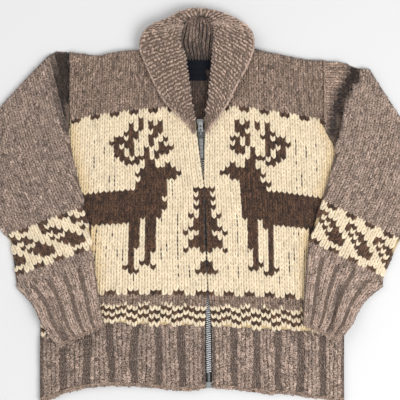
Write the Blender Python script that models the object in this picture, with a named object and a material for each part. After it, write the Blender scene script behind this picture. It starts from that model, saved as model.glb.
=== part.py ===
"""A hand-knitted zip cardigan with a shawl collar, laid flat with its sleeves folded down over the front.

Units are millimetres in the tables and metres in the scene. Seen from above, +X is right, +Y is towards the
collar and +Z is up. Left and right are as seen from above. Distances along Y start near the hem, and the
whole garment is centred on the origin at the end, so that it rests on z = 0.
"""

import math

import bmesh
import bpy

MM = 0.001

# Driving sizes, in millimetres
WALL = 5.5
SEAM = 0.3
EDGE_ROUND = 1.8
FRONT_LOFT = 2.6
SLEEVE_LOFT = 3.2
CREASE_HALF = 13.0
CREASE_PAD_HALF = 42.0
CREASE_PAD = 3.0
RIB_HEIGHT = 2.4
HEM_RIB_PITCH = 43.0
ZIP_RIDGE = 4.9
ZIP_RIDGE_OPEN = 1.7
ZIP_OPEN_BELOW_Y = 105.0
ZIP_RIDGE_FLAT = 20.0
ZIP_RIDGE_FALL = 55.0
CLIMB_START = 5.0
CLIMB_LENGTH = 45.0
COLLAR_CLIMB_LENGTH = 28.0
LAY_GAP = 0.6
COLLAR_LAY_GAP = 1.4

# Chain, slider and pull
CHAIN_HALF = 5.4
CHAIN_THICK = 4.4
CHAIN_LOW_Z = 7.9
CHAIN_RISE = 2.4
CHAIN_RISE_Y = 476.0
CHAIN_TOP_Y = 516.0
CHAIN_BOTTOM_Y = 62.0
PIN_HALF = 2.3
TAPE_WIDTH = 12.0
TAPE_THICK = 1.0
TAPE_DROP = 1.5
BOX_Y = (22.0, 33.0)
BOX_HALF = 4.8
BOX_THICK = 4.2
SLIDER_PLATE = 1.5
SLIDER_Y = (499.6, 531.0)
HINGE_Y = 505.0
TAB_LENGTH = 50.0
TAB_THICK = 1.6
TAB_TILT_DEG = 4.0
TAB_WINDOW_END = 5.7
TAB_WINDOW_HALF = 3.4
BRIDGE_HALF = 1.3
BRIDGE_LEG_IN = 3.7
BRIDGE_STRAP = 1.0
BRIDGE_ROUND = 0.55
BRIDGE_ROOT = 0.6
BAR_CLEARANCE = 0.6

# Outline of the body: distance along Y, then X of each side
LEFT_SIDE = [
    # y, x
    (-10, -304), (119, -304), (200, -300), (300, -290), (397, -280), (472, -264), (505, -250), (518, -247),
    (560, -247), (670, -247),
]
RIGHT_SIDE = [
    # y, x
    (-10, 274), (126, 274), (200, 276), (300, 275), (397, 271), (440, 268), (472, 261), (505, 240),
    (531, 236),
    (560, 236), (670, 236),
]
HEM_LINE = [
    # x, y
    (-304, -4), (-284, 0), (-261, 11), (-210, 23), (-176, 26), (-113, 25), (-25, 17), (13, 22), (70, 19),
    (132, 11), (164, 11), (204, 5), (274, -4),
]
RIB_LINE = [
    # x, y
    (-304, 120), (-240, 140), (-180, 146), (-113, 142), (13, 140), (113, 134), (193, 130), (274, 118),
]
SHOULDER_LINE = [
    # x, y
    (-247, 659), (-212, 654), (-193, 652), (-174, 656), (-151, 660), (-115, 663), (-62, 662), (0, 662),
    (58, 664), (104, 665), (117, 661), (161, 652), (198, 645), (236, 643),
]
BACK_NECK = [
    # x, how far the back panel's top edge is cut below the shoulder line
    (-247, 0), (-70, 0), (-45, 4), (0, 6), (42, 6), (62, 0), (236, 0),
]
ZIP_LINE = [
    # y, x
    (0, 17), (23, 17), (104, 16), (197, 15), (274, 12), (378, 9), (423, 6), (531, 0),
]
ZIP_GAP = [
    # y, half the width of the slit between the front edges
    (-10, 5.6), (60, 6.0), (150, 6.0), (185, 2.6), (215, 1.0), (270, 1.6), (320, 2.4), (360, 1.4), (415, 1.0),
    (440, 3.2), (470, 5.0), (492, 6.6), (500, 7.3), (531, 7.6),
]
LEFT_NECK = [
    # y, x
    (531, -7.6), (567, -26), (605, -42), (643, -55), (662, -62),
]
RIGHT_NECK = [
    # y, x
    (531, 8.0), (567, 26), (605, 40), (643, 52), (662, 58),
]

# Sleeves from the armhole to the cuff: outer fold and inner fold of the flattened tube
LEFT_SLEEVE = [
    # outer x, outer y, inner x, inner y
    (-247.7, 659, -247.9, 521),
    (-259, 661, -248.6, 516),
    (-273, 662, -248, 509),
    (-290, 652, -246, 497),
    (-331, 610, -243, 480),
    (-369, 569, -239, 460),
    (-397, 535, -236, 445),
    (-416, 505, -232, 430),
    (-427, 472, -228, 415),
    (-431, 435, -224, 400),
    (-425, 397, -220, 388),
    (-406, 352, -218, 375),
    (-361, 299, -217, 362),
    (-355, 262, -209, 330),
    (-351, 228, -202, 288),
    (-348, 209, -199, 263),
]
RIGHT_SLEEVE = [
    (236.7, 643, 240.9, 507),
    (261, 642, 246, 495),
    (280, 637, 252, 483),
    (299, 630, 255, 472),
    (323, 627, 254, 462),
    (340, 600, 251, 450),
    (357, 574, 246, 432),
    (378, 542, 242, 416),
    (397, 510, 237, 402),
    (412, 472, 233, 390),
    (420, 431, 229, 378),
    (418, 387, 226, 368),
    (404, 342, 224, 362),
    (376, 292, 223, 357),
    (362, 262, 213, 328),
    (349, 232, 206, 306),
    (349, 214, 203, 289),
]
LEFT_CUFF = [
    (-347.6, 208.4, -198.8, 262.4),
    (-325, 188, -195, 235),
    (-312, 171, -191, 205),
    (-303, 149, -187, 180),
    (-288, 123, -183, 158),
    (-268, 100, -180, 142),
]
RIGHT_CUFF = [
    (348.8, 213.2, 202.8, 288.2),
    (330, 199, 199, 260),
    (313, 184, 197, 228),
    (300, 165, 195, 196),
    (288, 141, 194, 168),
    (262, 109, 193, 146),
]
LEFT_CREASE = [
    # y, x along the bottom of the trough
    (505, -249), (560, -254), (600, -258), (655, -262),
]
RIGHT_CREASE = [
    (472, 255), (520, 269), (576, 284), (605, 292), (635, 300),
]

# Collar from the foot of the lapel to the centre of the back neck
LEFT_COLLAR = [
    # outer x, outer y, roll x, roll y, height of the top face above the front
    (-11.5, 503, -8.8, 508, 6.5),
    (-19, 516, -8.6, 521, 11),
    (-36, 533, -9.0, 537, 13),
    (-53, 548, -13, 549, 14),
    (-68, 565, -15, 560, 14.5),
    (-81, 588, -17.5, 578, 15),
    (-93, 612, -21, 603, 15.5),
    (-104, 637, -24.5, 622, 16),
    (-113, 660, -27, 643, 16.5),
    (-113, 680, -30, 656, 17),
    (-107, 694, -36, 667, 17.5),
    (-98, 703, -39, 680, 18),
    (-85, 711, -37, 690, 18),
    (-66, 718, -34, 703, 17.5),
    (-53, 725, -30, 712, 16.5),
    (-38, 734, -22, 721, 15),
    (-18, 739, -12, 725, 13.5),
    (-0.2, 739.5, -0.2, 726, 13),
]
RIGHT_COLLAR = [
    (11.8, 503, 9.6, 508, 6.5),
    (21, 518, 9.6, 521, 11),
    (36, 535, 9.8, 537, 13),
    (47, 552, 13, 553, 14),
    (57, 569, 15.5, 570, 14.5),
    (66, 588, 18, 588, 15),
    (76, 607, 20.5, 606, 15.5),
    (87, 625, 22, 624, 16),
    (95, 645, 23.5, 641, 16.5),
    (101, 662, 24, 656, 17),
    (102, 679, 25.5, 670, 17.5),
    (98, 694, 27, 684, 18),
    (89, 706, 27, 696, 18),
    (72, 717, 25, 706, 17.5),
    (53, 727, 21, 715, 16.5),
    (32, 734, 15, 722, 15),
    (14, 738, 8, 725.5, 13.5),
    (0.2, 739.5, 0.2, 726, 13),
]
STAND_Y = (646.0, 720.5)
STAND_ARCH = 4.0
STAND_CLEARANCE = 0.7
STAND_RIBS = 9
LABELS = [
    # name, left x, right x, low y, high y
    ("label_main", -23.5, 19, 626, 645),
    ("label_size", -21, 11, 616, 625.5),
    ("label_care", -20.5, 13, 604.5, 615.5),
]
LABEL_THICK = 0.7
LABEL_ROUND = 0.2

WOOL = (0.224, 0.171, 0.140)
METAL = (0.42, 0.43, 0.44)
TAPE = (0.045, 0.038, 0.034)
BLACK = (0.012, 0.013, 0.017)


def smooth_step(value):
    """Ease from 0 to 1."""
    value = min(1.0, max(0.0, value))
    return value * value * (3.0 - 2.0 * value)


def ease_along(table, at):
    """Read a two-column table at a place, with slopes that pass smoothly through its points."""
    if at <= table[0][0]:
        return table[0][1]
    if at >= table[-1][0]:
        return table[-1][1]
    index = next(i for i in range(1, len(table)) if table[i][0] >= at)
    (x0, y0), (x1, y1) = table[index - 1], table[index]
    before = table[max(index - 2, 0)]
    after = table[min(index + 1, len(table) - 1)]
    slope0 = (y1 - before[1]) / (x1 - before[0])
    slope1 = (after[1] - y0) / (after[0] - x0)
    span = x1 - x0
    t = (at - x0) / span
    h00 = (1 + 2 * t) * (1 - t) ** 2
    h10 = t * (1 - t) ** 2
    h01 = t * t * (3 - 2 * t)
    h11 = t * t * (t - 1)
    return h00 * y0 + h10 * span * slope0 + h01 * y1 + h11 * span * slope1


def lerp(a, b, t):
    return a + (b - a) * t


def spread(count):
    """Even fractions from 0 to 1."""
    return [i / count for i in range(count + 1)]


def zip_x(y):
    return ease_along(ZIP_LINE, y)


def zip_gap(y):
    return ease_along(ZIP_GAP, y)


def front_low(x, y):
    """Underside of the fronts: on the back, lofted a little, and lifted over the chain."""
    inside = min(x - ease_along(LEFT_SIDE, y), ease_along(RIGHT_SIDE, y) - x)
    loft = FRONT_LOFT * smooth_step(inside / 120.0)
    away = abs(x - zip_x(min(y, SLIDER_Y[1]))) - ZIP_RIDGE_FLAT
    height = lerp(ZIP_RIDGE_OPEN, ZIP_RIDGE, smooth_step((y - ZIP_OPEN_BELOW_Y) / 30.0))
    ridge = height * (1.0 - smooth_step(away / ZIP_RIDGE_FALL))
    ridge *= 1.0 - smooth_step((y - SLIDER_Y[1] - 10.0) / 60.0)
    return WALL + SEAM + max(loft, ridge)


def front_high(x, y):
    return front_low(x, y) + WALL


def climb(x, y, crossing_y):
    """1 over the body and just round it, falling to 0 on the floor beside it."""
    below = min(y, crossing_y)
    left, right = ease_along(LEFT_SIDE, below), ease_along(RIGHT_SIDE, below)
    aside = max(left - x, x - right, 0.0)
    above = max(y - crossing_y, 0.0)
    away = math.hypot(aside, above) - CLIMB_START
    return 1.0 - smooth_step(away / CLIMB_LENGTH)


def lay_on_body(x, y, crossing_y):
    """Height that a sleeve or cuff rests at: the floor, or the front and its ribbing."""
    inner_x = min(max(x, -304.0), 274.0)
    ribbed = RIB_HEIGHT * (1.0 - smooth_step((y - 150.0) / 25.0))
    top = front_high(inner_x, y) + ribbed + LAY_GAP
    return climb(x, y, crossing_y) * top


def lay_collar(x, y):
    """Height that the collar rests at: the fronts, or the floor above the shoulder line."""
    beyond = y - ease_along(SHOULDER_LINE, x) - CLIMB_START
    over = 1.0 - smooth_step(beyond / COLLAR_CLIMB_LENGTH)
    return over * (front_high(x, min(y, 662.0)) + COLLAR_LAY_GAP)


def make_material(name, colour, roughness, metallic):
    material = bpy.data.materials.new(name)
    material.use_nodes = True
    shader = material.node_tree.nodes["Principled BSDF"]
    shader.inputs["Base Color"].default_value = (*colour, 1.0)
    shader.inputs["Roughness"].default_value = roughness
    shader.inputs["Metallic"].default_value = metallic
    return material


def make_object(name, points, faces, finish, smooth=True):
    """A closed mesh from points in millimetres, its faces turned outwards."""
    colour, roughness, metallic = finish
    mesh = bpy.data.meshes.new(name)
    mesh.from_pydata([(x * MM, y * MM, z * MM) for x, y, z in points], [], faces)
    form = bmesh.new()
    form.from_mesh(mesh)
    bmesh.ops.recalc_face_normals(form, faces=form.faces)
    form.to_mesh(mesh)
    form.free()
    if smooth:
        mesh.shade_smooth()
        mesh.set_sharp_from_angle(angle=math.radians(50.0))
    mesh.materials.append(make_material(name, colour, roughness, metallic))
    part = bpy.data.objects.new(name, mesh)
    bpy.context.scene.collection.objects.link(part)
    return part


def border_indices(rows, cols):
    """Row and column of each border point of a grid, in order round it."""
    around = [(0, c) for c in range(cols)]
    around += [(r, cols - 1) for r in range(1, rows)]
    around += [(rows - 1, c) for c in range(cols - 2, -1, -1)]
    around += [(r, 0) for r in range(rows - 2, 0, -1)]
    return around


def inset_border(plan, distance):
    """The plan with its border points moved inwards, for a rounded edge."""
    rows, cols = len(plan), len(plan[0])
    inset = [list(row) for row in plan]
    for r, c in border_indices(rows, cols):
        toward_r = min(max(r, 1), rows - 2)
        toward_c = min(max(c, 1), cols - 2)
        x, y = plan[r][c]
        tx, ty = plan[toward_r][toward_c]
        length = math.hypot(tx - x, ty - y)
        step = min(distance * (1.4 if toward_r != r and toward_c != c else 1.0), 0.45 * length)
        inset[r][c] = (x + (tx - x) / length * step, y + (ty - y) / length * step)
    return inset


def make_panel(name, plan, low, high, finish, edge=EDGE_ROUND):
    """A panel of cloth over a plan of points, between two heights, with a rounded edge."""
    rows, cols = len(plan), len(plan[0])
    inset = inset_border(plan, edge)
    top = [(x, y, high(r, c, x, y)) for r, row in enumerate(inset) for c, (x, y) in enumerate(row)]
    bottom = [(x, y, low(r, c, x, y)) for r, row in enumerate(inset) for c, (x, y) in enumerate(row)]
    around = border_indices(rows, cols)
    ring = []
    for r, c in around:
        x, y = plan[r][c]
        ring.append((x, y, 0.5 * (top[r * cols + c][2] + bottom[r * cols + c][2])))
    points = top + bottom + ring
    below, side = len(top), 2 * len(top)
    faces = []
    for r in range(rows - 1):
        for c in range(cols - 1):
            quad = (r * cols + c, r * cols + c + 1, (r + 1) * cols + c + 1, (r + 1) * cols + c)
            faces.append(quad)
            faces.append(tuple(below + i for i in reversed(quad)))
    for i, (r, c) in enumerate(around):
        j = (i + 1) % len(around)
        nr, nc = around[j]
        here, ahead = r * cols + c, nr * cols + nc
        faces.append((here, side + i, side + j, ahead))
        faces.append((side + i, below + here, below + ahead, side + j))
    return make_object(name, points, faces, finish)


def body_plan(left, right, foot, head, cols, rows):
    """Points of a panel between two side edges and two end edges."""
    across = cols if isinstance(cols, list) else spread(cols)
    plan = []
    for v in rows if isinstance(rows, list) else spread(rows):
        line = []
        for u in across:
            y = 0.5 * (foot(0.0) + head(0.0))
            x = lerp(left(y), right(y), u)
            for _ in range(4):
                y = lerp(foot(x), head(x), v)
                x = lerp(left(y), right(y), u)
            line.append((x, y))
        plan.append(line)
    return plan


def hem_y(x):
    return ease_along(HEM_LINE, x)


def rib_y(x):
    return ease_along(RIB_LINE, x)


def shoulder_y(x):
    return ease_along(SHOULDER_LINE, x)


def left_side(y):
    return ease_along(LEFT_SIDE, y)


def right_side(y):
    return ease_along(RIGHT_SIDE, y)


def left_front_edge(y):
    """Inner edge of the left front: along the zip, then along the neckline under the collar."""
    if y <= LEFT_NECK[0][0]:
        return zip_x(y) - zip_gap(y)
    return ease_along(LEFT_NECK, y)


def right_front_edge(y):
    if y <= RIGHT_NECK[0][0]:
        return zip_x(y) + zip_gap(y)
    return ease_along(RIGHT_NECK, y)


WOOL_FINISH = (WOOL, 0.95, 0.0)
METAL_FINISH = (METAL, 0.32, 1.0)
TAPE_FINISH = (TAPE, 0.9, 0.0)
LABEL_FINISH = (BLACK, 0.75, 0.0)
PANEL_ROWS = [0.0, 0.08, 0.17, 0.26, 0.35, 0.44, 0.53, 0.61, 0.69, 0.755, 0.80, 0.86, 0.93, 1.0]
HEM_ROWS = [0.0, 0.3, 0.65, 1.0]
SLEEVE_FRACTIONS = [0.12, 0.27, 0.42, 0.58, 0.73, 0.88]
STAND_ROWS = [0.0, 0.09, 0.15, 0.22, 0.34, 0.45, 0.56, 0.68, 0.8, 0.9, 1.0]
POINTS_PER_RIB = 3
LEFT_CROSSING_Y = 522.0
RIGHT_CROSSING_Y = 508.0
CUFF_RIBS = 3
CUFF_LOFT = 1.0
FOLD_ROUND = 5.0
RIBBING_MIDDLE_Y = 80.0
RIB_FADE = 0.35
COLLAR_HIGHEST_Y = 640.0
COLLAR_BULGE = 2.2
COLLAR_TILT = 1.2
COLLAR_EDGE = 3.0
COLLAR_ROLL = 6.0
COLLAR_SLOT = 14.0
STAND_LOW = 11.2
STAND_RISE = 4.5
STAND_DISH = 4.0
STAND_RISE_LENGTH = 70.0
STAND_RIB_HEIGHT = 2.0
STAND_RIB_START = 12.0
STAND_DROP_Y = 657.0
STAND_DROP_LENGTH = 6.0
PIN_TOP_Y = 60.0
PIN_THICK_SHARE = 0.6
CHAIN_RISE_LENGTH = 22.0
SLIDER_INNER_GAP = 0.4
POST_OVERLAP = 0.7
SLIDER_HALF_WIDTHS = [
    # y, half width
    (499.6, 5.3), (508, 5.4), (514, 5.0), (519, 4.6), (524, 5.6), (528, 6.6), (530.2, 6.4), (531, 5.2),
]
POST_HALF_WIDTHS = [(519.0, 0.5), (523.5, 2.2), (528.5, 1.2)]
TAB_FRAME = 3.2


def make_back():
    plan = body_plan(
        left_side, right_side, lambda x: rib_y(x) + SEAM / 2,
        lambda x: shoulder_y(x) - ease_along(BACK_NECK, x), 16, 11,
    )
    make_panel("back", plan, lambda r, c, x, y: 0.0, lambda r, c, x, y: WALL, WOOL_FINISH)
    plan = body_plan(left_side, right_side, hem_y, lambda x: rib_y(x) - SEAM / 2, 16, 3)
    make_panel("hem_back", plan, lambda r, c, x, y: 0.0, lambda r, c, x, y: WALL, WOOL_FINISH)


def make_front(side, left, right):
    """One front and its hem ribbing, which share their columns so that they meet along the seam."""
    ribs = round((right(RIBBING_MIDDLE_Y) - left(RIBBING_MIDDLE_Y)) / HEM_RIB_PITCH)
    cols = spread(ribs * POINTS_PER_RIB)

    def low(r, c, x, y):
        return front_low(x, y)

    def high(r, c, x, y):
        return front_high(x, y)

    def ribbed(r, c, x, y):
        wave = 0.5 - 0.5 * math.cos(2.0 * math.pi * ribs * cols[c])
        fade = RIB_FADE if r == len(HEM_ROWS) - 1 else 1.0
        return front_high(x, y) + RIB_HEIGHT * wave * fade

    plan = body_plan(
        left, right, lambda x: rib_y(x) + SEAM / 2, lambda x: shoulder_y(x) - 0.5, cols, PANEL_ROWS,
    )
    make_panel(f"front_{side}", plan, low, high, WOOL_FINISH)
    plan = body_plan(left, right, hem_y, lambda x: rib_y(x) - SEAM / 2, cols, HEM_ROWS)
    make_panel(f"hem_{side}", plan, low, ribbed, WOOL_FINISH)


def crease_depth(x, y, line, width):
    """1 in the middle of a trough that follows a line, 0 beyond its width."""
    if y < line[0][0] - width or y > line[-1][0] + width:
        return 0.0
    return 1.0 - smooth_step(abs(x - ease_along(line, y)) / width)


def tube_section(station, fractions, low, high, wall):
    """Outer and inner ring of a flattened tube between its two folds."""
    ox, oy, ix, iy = station[:4]
    width = math.hypot(ix - ox, iy - oy)

    def place(t, z):
        return (lerp(ox, ix, t), lerp(oy, iy, t), z)

    def heights(t):
        x, y, _ = place(t, 0.0)
        return low(x, y, t), high(x, y, t)

    rings = []
    for inset in (0.0, wall):
        skip = inset / width
        ring = []
        for end in (0.0, 1.0):
            t_end = lerp(skip, 1.0 - skip, end)
            z0, z1 = heights(t_end)
            ring.append(place(t_end, 0.5 * (z0 + z1)))
            inner = fractions if end == 0.0 else list(reversed(fractions))
            for t in inner:
                t = lerp(skip, 1.0 - skip, t)
                z0, z1 = heights(t)
                ring.append(place(t, z1 - inset if end == 0.0 else z0 + inset))
        rings.append(ring)
    return rings


def make_tube(name, stations, fractions, low, high, wall=WALL):
    """A tube of cloth pressed flat, open at both ends."""
    sections = [tube_section(s, fractions(s), low, high, wall) for s in stations]
    size = len(sections[0][0])
    points = []
    for outer, inner in sections:
        points += outer + inner
    faces = []
    for s in range(len(sections) - 1):
        base, ahead = s * 2 * size, (s + 1) * 2 * size
        for shell in (0, size):
            for i in range(size):
                j = (i + 1) % size
                faces.append((base + shell + i, base + shell + j, ahead + shell + j, ahead + shell + i))
    for base in (0, (len(sections) - 1) * 2 * size):
        for i in range(size):
            j = (i + 1) % size
            faces.append((base + i, base + j, base + size + j, base + size + i))
    return make_object(name, points, faces, WOOL_FINISH)


def edge_fractions(inner):
    """Fractions across a tube: two close to each fold for a round edge, and the ones between."""

    def at(station):
        width = math.hypot(station[2] - station[0], station[3] - station[1])
        near = FOLD_ROUND / width
        return [near] + [lerp(near, 1.0 - near, t) for t in inner] + [1.0 - near]

    return at


def make_sleeve(name, table, crossing_y, crease):
    def low(x, y, t):
        return lay_on_body(x, y, crossing_y)

    def high(x, y, t):
        loft = SLEEVE_LOFT * math.sin(math.pi * min(max(t, 0.0), 1.0)) ** 0.6
        trough = crease_depth(x, y, crease, CREASE_HALF)
        pads = CREASE_PAD * (crease_depth(x, y, crease, CREASE_PAD_HALF) - trough)
        return low(x, y, t) + 2.0 * WALL + SEAM + loft * (1.0 - trough) + pads

    make_tube(name, table, edge_fractions(SLEEVE_FRACTIONS), low, high)


def make_cuff(name, table, crossing_y):
    def low(x, y, t):
        return lay_on_body(x, y, crossing_y)

    def high(x, y, t):
        wave = 0.5 - 0.5 * math.cos(2.0 * math.pi * CUFF_RIBS * t)
        return low(x, y, t) + 2.0 * WALL + SEAM + CUFF_LOFT + RIB_HEIGHT * wave

    points_across = CUFF_RIBS * 4
    inner = [i / points_across for i in range(1, points_across)]
    make_tube(name, table, edge_fractions(inner), low, high)


def collar_section(station):
    """One closed outline across the collar: fall above, roll at the inner side, stand below."""
    ox, oy, rx, ry, height = station
    width = math.hypot(rx - ox, ry - oy)

    def place(s, z):
        return (lerp(ox, rx, s), lerp(oy, ry, s), z)

    def rest(s):
        x, y, _ = place(s, 0.0)
        return lay_collar(x, y)

    front = front_high(0.5 * (ox + rx), min(0.5 * (oy + ry), COLLAR_HIGHEST_Y)) + LAY_GAP
    round_edge = min(COLLAR_EDGE, 0.2 * width) / width
    roll = min(COLLAR_ROLL, 0.4 * width) / width
    slot = min(COLLAR_SLOT, 0.35 * width) / width

    def top(s):
        bulge = math.sin(math.pi * min(max(s, 0.0), 1.0)) ** 0.7
        return front + height - COLLAR_BULGE * (1.0 - bulge) + COLLAR_TILT * s

    thick = top(0.0) - rest(0.0)
    fold = rest(0.0) + 0.5 * thick
    tip = 0.5 * (rest(1.0) + top(1.0))
    outline = [(0.0, fold + 0.12 * thick), (0.0, top(0.0) - 0.15 * thick), (round_edge, top(round_edge))]
    outline += [(s, top(s)) for s in (0.26, 0.42, 0.58)]
    outline += [(1.0 - roll, top(1.0 - roll)), (1.0 - 0.35 * roll, top(1.0) - 0.15 * thick)]
    outline += [(1.0, tip), (1.0 - 0.35 * roll, rest(1.0) + 0.12 * thick), (1.0 - roll, rest(1.0 - roll))]
    outline += [(s, rest(s)) for s in (0.54, 0.32)]
    outline += [(round_edge, rest(round_edge)), (0.0, rest(0.0) + 0.13 * thick), (0.0, fold - 0.05 * thick)]
    outline += [(slot, fold - 0.04 * thick), (slot, fold + 0.04 * thick)]
    return [place(s, z) for s, z in outline]


def make_collar_half(name, table):
    sections = [collar_section(s) for s in table]
    size = len(sections[0])
    points = [p for section in sections for p in section]
    faces = []
    for s in range(len(sections) - 1):
        for i in range(size):
            j = (i + 1) % size
            base, ahead = s * size, (s + 1) * size
            faces.append((base + i, base + j, ahead + j, ahead + i))
    faces.append(tuple(range(size)))
    faces.append(tuple((len(sections) - 1) * size + i for i in reversed(range(size))))
    return make_object(name, points, faces, WOOL_FINISH)


def roll_x(table, y):
    """Where the inner edge of a collar half runs, straight from row to row."""
    line = [(row[3], row[2]) for row in table]
    index = next((i for i in range(1, len(line)) if line[i][0] >= y), len(line) - 1)
    (y0, x0), (y1, x1) = line[index - 1], line[index]
    return lerp(x0, x1, (y - y0) / (y1 - y0))


def make_collar_stand():
    """The back-neck part of the collar: it rises from the neck seam to the roll, with gathered ribs."""
    foot, head = STAND_Y
    cols = spread(STAND_RIBS * 3)
    plan = []
    for v in STAND_ROWS:
        line = []
        for u in cols:
            y = lerp(foot, head, v)
            left = roll_x(LEFT_COLLAR, y) + STAND_CLEARANCE
            right = roll_x(RIGHT_COLLAR, y) - STAND_CLEARANCE
            if v == 1.0:
                y += STAND_ARCH * (1.0 - (2.0 * u - 1.0) ** 2)
            line.append((lerp(left, right, u), y))
        plan.append(line)

    def low(r, c, x, y):
        return (WALL + SEAM) * (1.0 - smooth_step((y - STAND_DROP_Y) / STAND_DROP_LENGTH))

    def high(r, c, x, y):
        rise = smooth_step((y - foot) / STAND_RISE_LENGTH)
        dish = (2.0 * cols[c] - 1.0) ** 2
        rib = 0.5 - 0.5 * math.cos(2.0 * math.pi * STAND_RIBS * cols[c])
        ribbed = STAND_RIB_HEIGHT * rib * smooth_step((y - foot) / STAND_RIB_START)
        return STAND_LOW + rise * (STAND_RISE + STAND_DISH * dish) + ribbed

    make_panel("collar_stand", plan, low, high, WOOL_FINISH, edge=0.8)


def make_labels():
    for name, left, right, low_y, high_y in LABELS:
        rows = (low_y, 0.5 * (low_y + high_y), high_y)
        plan = [[(left, y), (0.5 * (left + right), y), (right, y)] for y in rows]
        base = WALL + SEAM
        top = base + LABEL_THICK
        make_panel(name, plan, lambda r, c, x, y: base, lambda r, c, x, y: top, LABEL_FINISH, edge=LABEL_ROUND)


def chain_z(y):
    """Middle height of the chain: it rises to the slider, clear of the front edges."""
    return CHAIN_LOW_Z + CHAIN_RISE * smooth_step((y - CHAIN_RISE_Y) / CHAIN_RISE_LENGTH)


def make_zip_half(name, side):
    """Tape and tooth row of one side, as one strip that follows the zip line."""
    rows = []
    stations = [BOX_Y[1] + 1.0, PIN_TOP_Y, CHAIN_BOTTOM_Y]
    stations += [lerp(CHAIN_BOTTOM_Y + 18.0, CHAIN_TOP_Y, t) for t in spread(22)]
    for y in stations:
        centre = zip_x(y)
        middle = chain_z(y)
        pinned = y <= PIN_TOP_Y
        reach = PIN_HALF if pinned else CHAIN_HALF
        thick = CHAIN_THICK * (PIN_THICK_SHARE if pinned else 1.0)
        tape_low = middle - TAPE_DROP - TAPE_THICK / 2
        tape_high = tape_low + TAPE_THICK
        profile = [
            (SEAM / 2, middle - thick / 2), (SEAM / 2, middle + thick / 2), (reach, middle + thick / 2),
            (reach, max(tape_high, middle - thick / 2 + 0.4)), (CHAIN_HALF + TAPE_WIDTH, tape_high),
            (CHAIN_HALF + TAPE_WIDTH, tape_low), (reach, min(tape_low, middle - thick / 2 + 0.2)),
            (reach - 0.2, middle - thick / 2),
        ]
        rows.append([(centre + side * x, y, z) for x, z in profile])
    size = len(rows[0])
    points = [p for row in rows for p in row]
    faces = []
    for s in range(len(rows) - 1):
        for i in range(size):
            j = (i + 1) % size
            faces.append((s * size + i, s * size + j, (s + 1) * size + j, (s + 1) * size + i))
    faces.append(tuple(range(size)))
    faces.append(tuple((len(rows) - 1) * size + i for i in reversed(range(size))))
    return make_object(name, points, faces, TAPE_FINISH, smooth=False)


def prism(outline, z_low, z_high):
    """Points and faces of an upright prism over a plan outline."""
    count = len(outline)
    points = [(x, y, z_low) for x, y in outline] + [(x, y, z_high) for x, y in outline]
    faces = [tuple(reversed(range(count))), tuple(range(count, 2 * count))]
    for i in range(count):
        j = (i + 1) % count
        faces.append((i, j, count + j, count + i))
    return points, faces


def join_solids(name, pieces, finish):
    """One solid from several that overlap."""
    base = None
    for index, (points, faces) in enumerate(pieces):
        part = make_object(f"{name}_{index}" if base else name, points, faces, finish, smooth=False)
        if base is None:
            base = part
            continue
        part.hide_render = True
        part.display_type = "WIRE"
        union = base.modifiers.new(f"join_{index}", "BOOLEAN")
        union.operation = "UNION"
        union.object = part
    return base


def outline_of(half_widths):
    """Plan outline, about the zip line, of a piece with these half widths."""
    right = [(zip_x(y) + half, y) for y, half in half_widths]
    left = [(zip_x(y) - half, y) for y, half in reversed(half_widths)]
    return right + left


def make_slider():
    middle = chain_z(SLIDER_Y[0])
    inner = CHAIN_THICK / 2 + SLIDER_INNER_GAP
    plate = outline_of(SLIDER_HALF_WIDTHS)
    plates = [
        prism(plate, middle - inner - SLIDER_PLATE, middle - inner),
        prism(plate, middle + inner, middle + inner + SLIDER_PLATE),
    ]
    post = prism(outline_of(POST_HALF_WIDTHS), middle - inner - POST_OVERLAP, middle + inner + POST_OVERLAP)
    deck = middle + inner + SLIDER_PLATE
    centre = zip_x(HINGE_Y)
    bar_z = hinge_height()
    strap_low = bar_z + TAB_THICK / 2 + BAR_CLEARANCE
    reach = BRIDGE_LEG_IN + BRIDGE_STRAP
    crown = strap_low + BRIDGE_STRAP
    root = deck - BRIDGE_ROOT
    profile = [
        (-reach, root), (-reach, crown - BRIDGE_ROUND), (-reach + BRIDGE_ROUND, crown),
        (reach - BRIDGE_ROUND, crown), (reach, crown - BRIDGE_ROUND), (reach, root),
        (BRIDGE_LEG_IN, root), (BRIDGE_LEG_IN, strap_low), (-BRIDGE_LEG_IN, strap_low), (-BRIDGE_LEG_IN, root),
    ]
    count = len(profile)
    points = [(centre - BRIDGE_HALF, HINGE_Y + y, z) for y, z in profile]
    points += [(centre + BRIDGE_HALF, HINGE_Y + y, z) for y, z in profile]
    faces = [tuple(range(count)), tuple(reversed(range(count, 2 * count)))]
    faces += [(i, (i + 1) % count, count + (i + 1) % count, count + i) for i in range(count)]
    join_solids("slider", [*plates, post, (points, faces)], METAL_FINISH)


def hinge_height():
    """Height of the pull tab's bar: just clear of the slider's upper plate."""
    deck = chain_z(SLIDER_Y[0]) + CHAIN_THICK / 2 + SLIDER_INNER_GAP + SLIDER_PLATE
    return deck + BAR_CLEARANCE + TAB_THICK / 2


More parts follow.
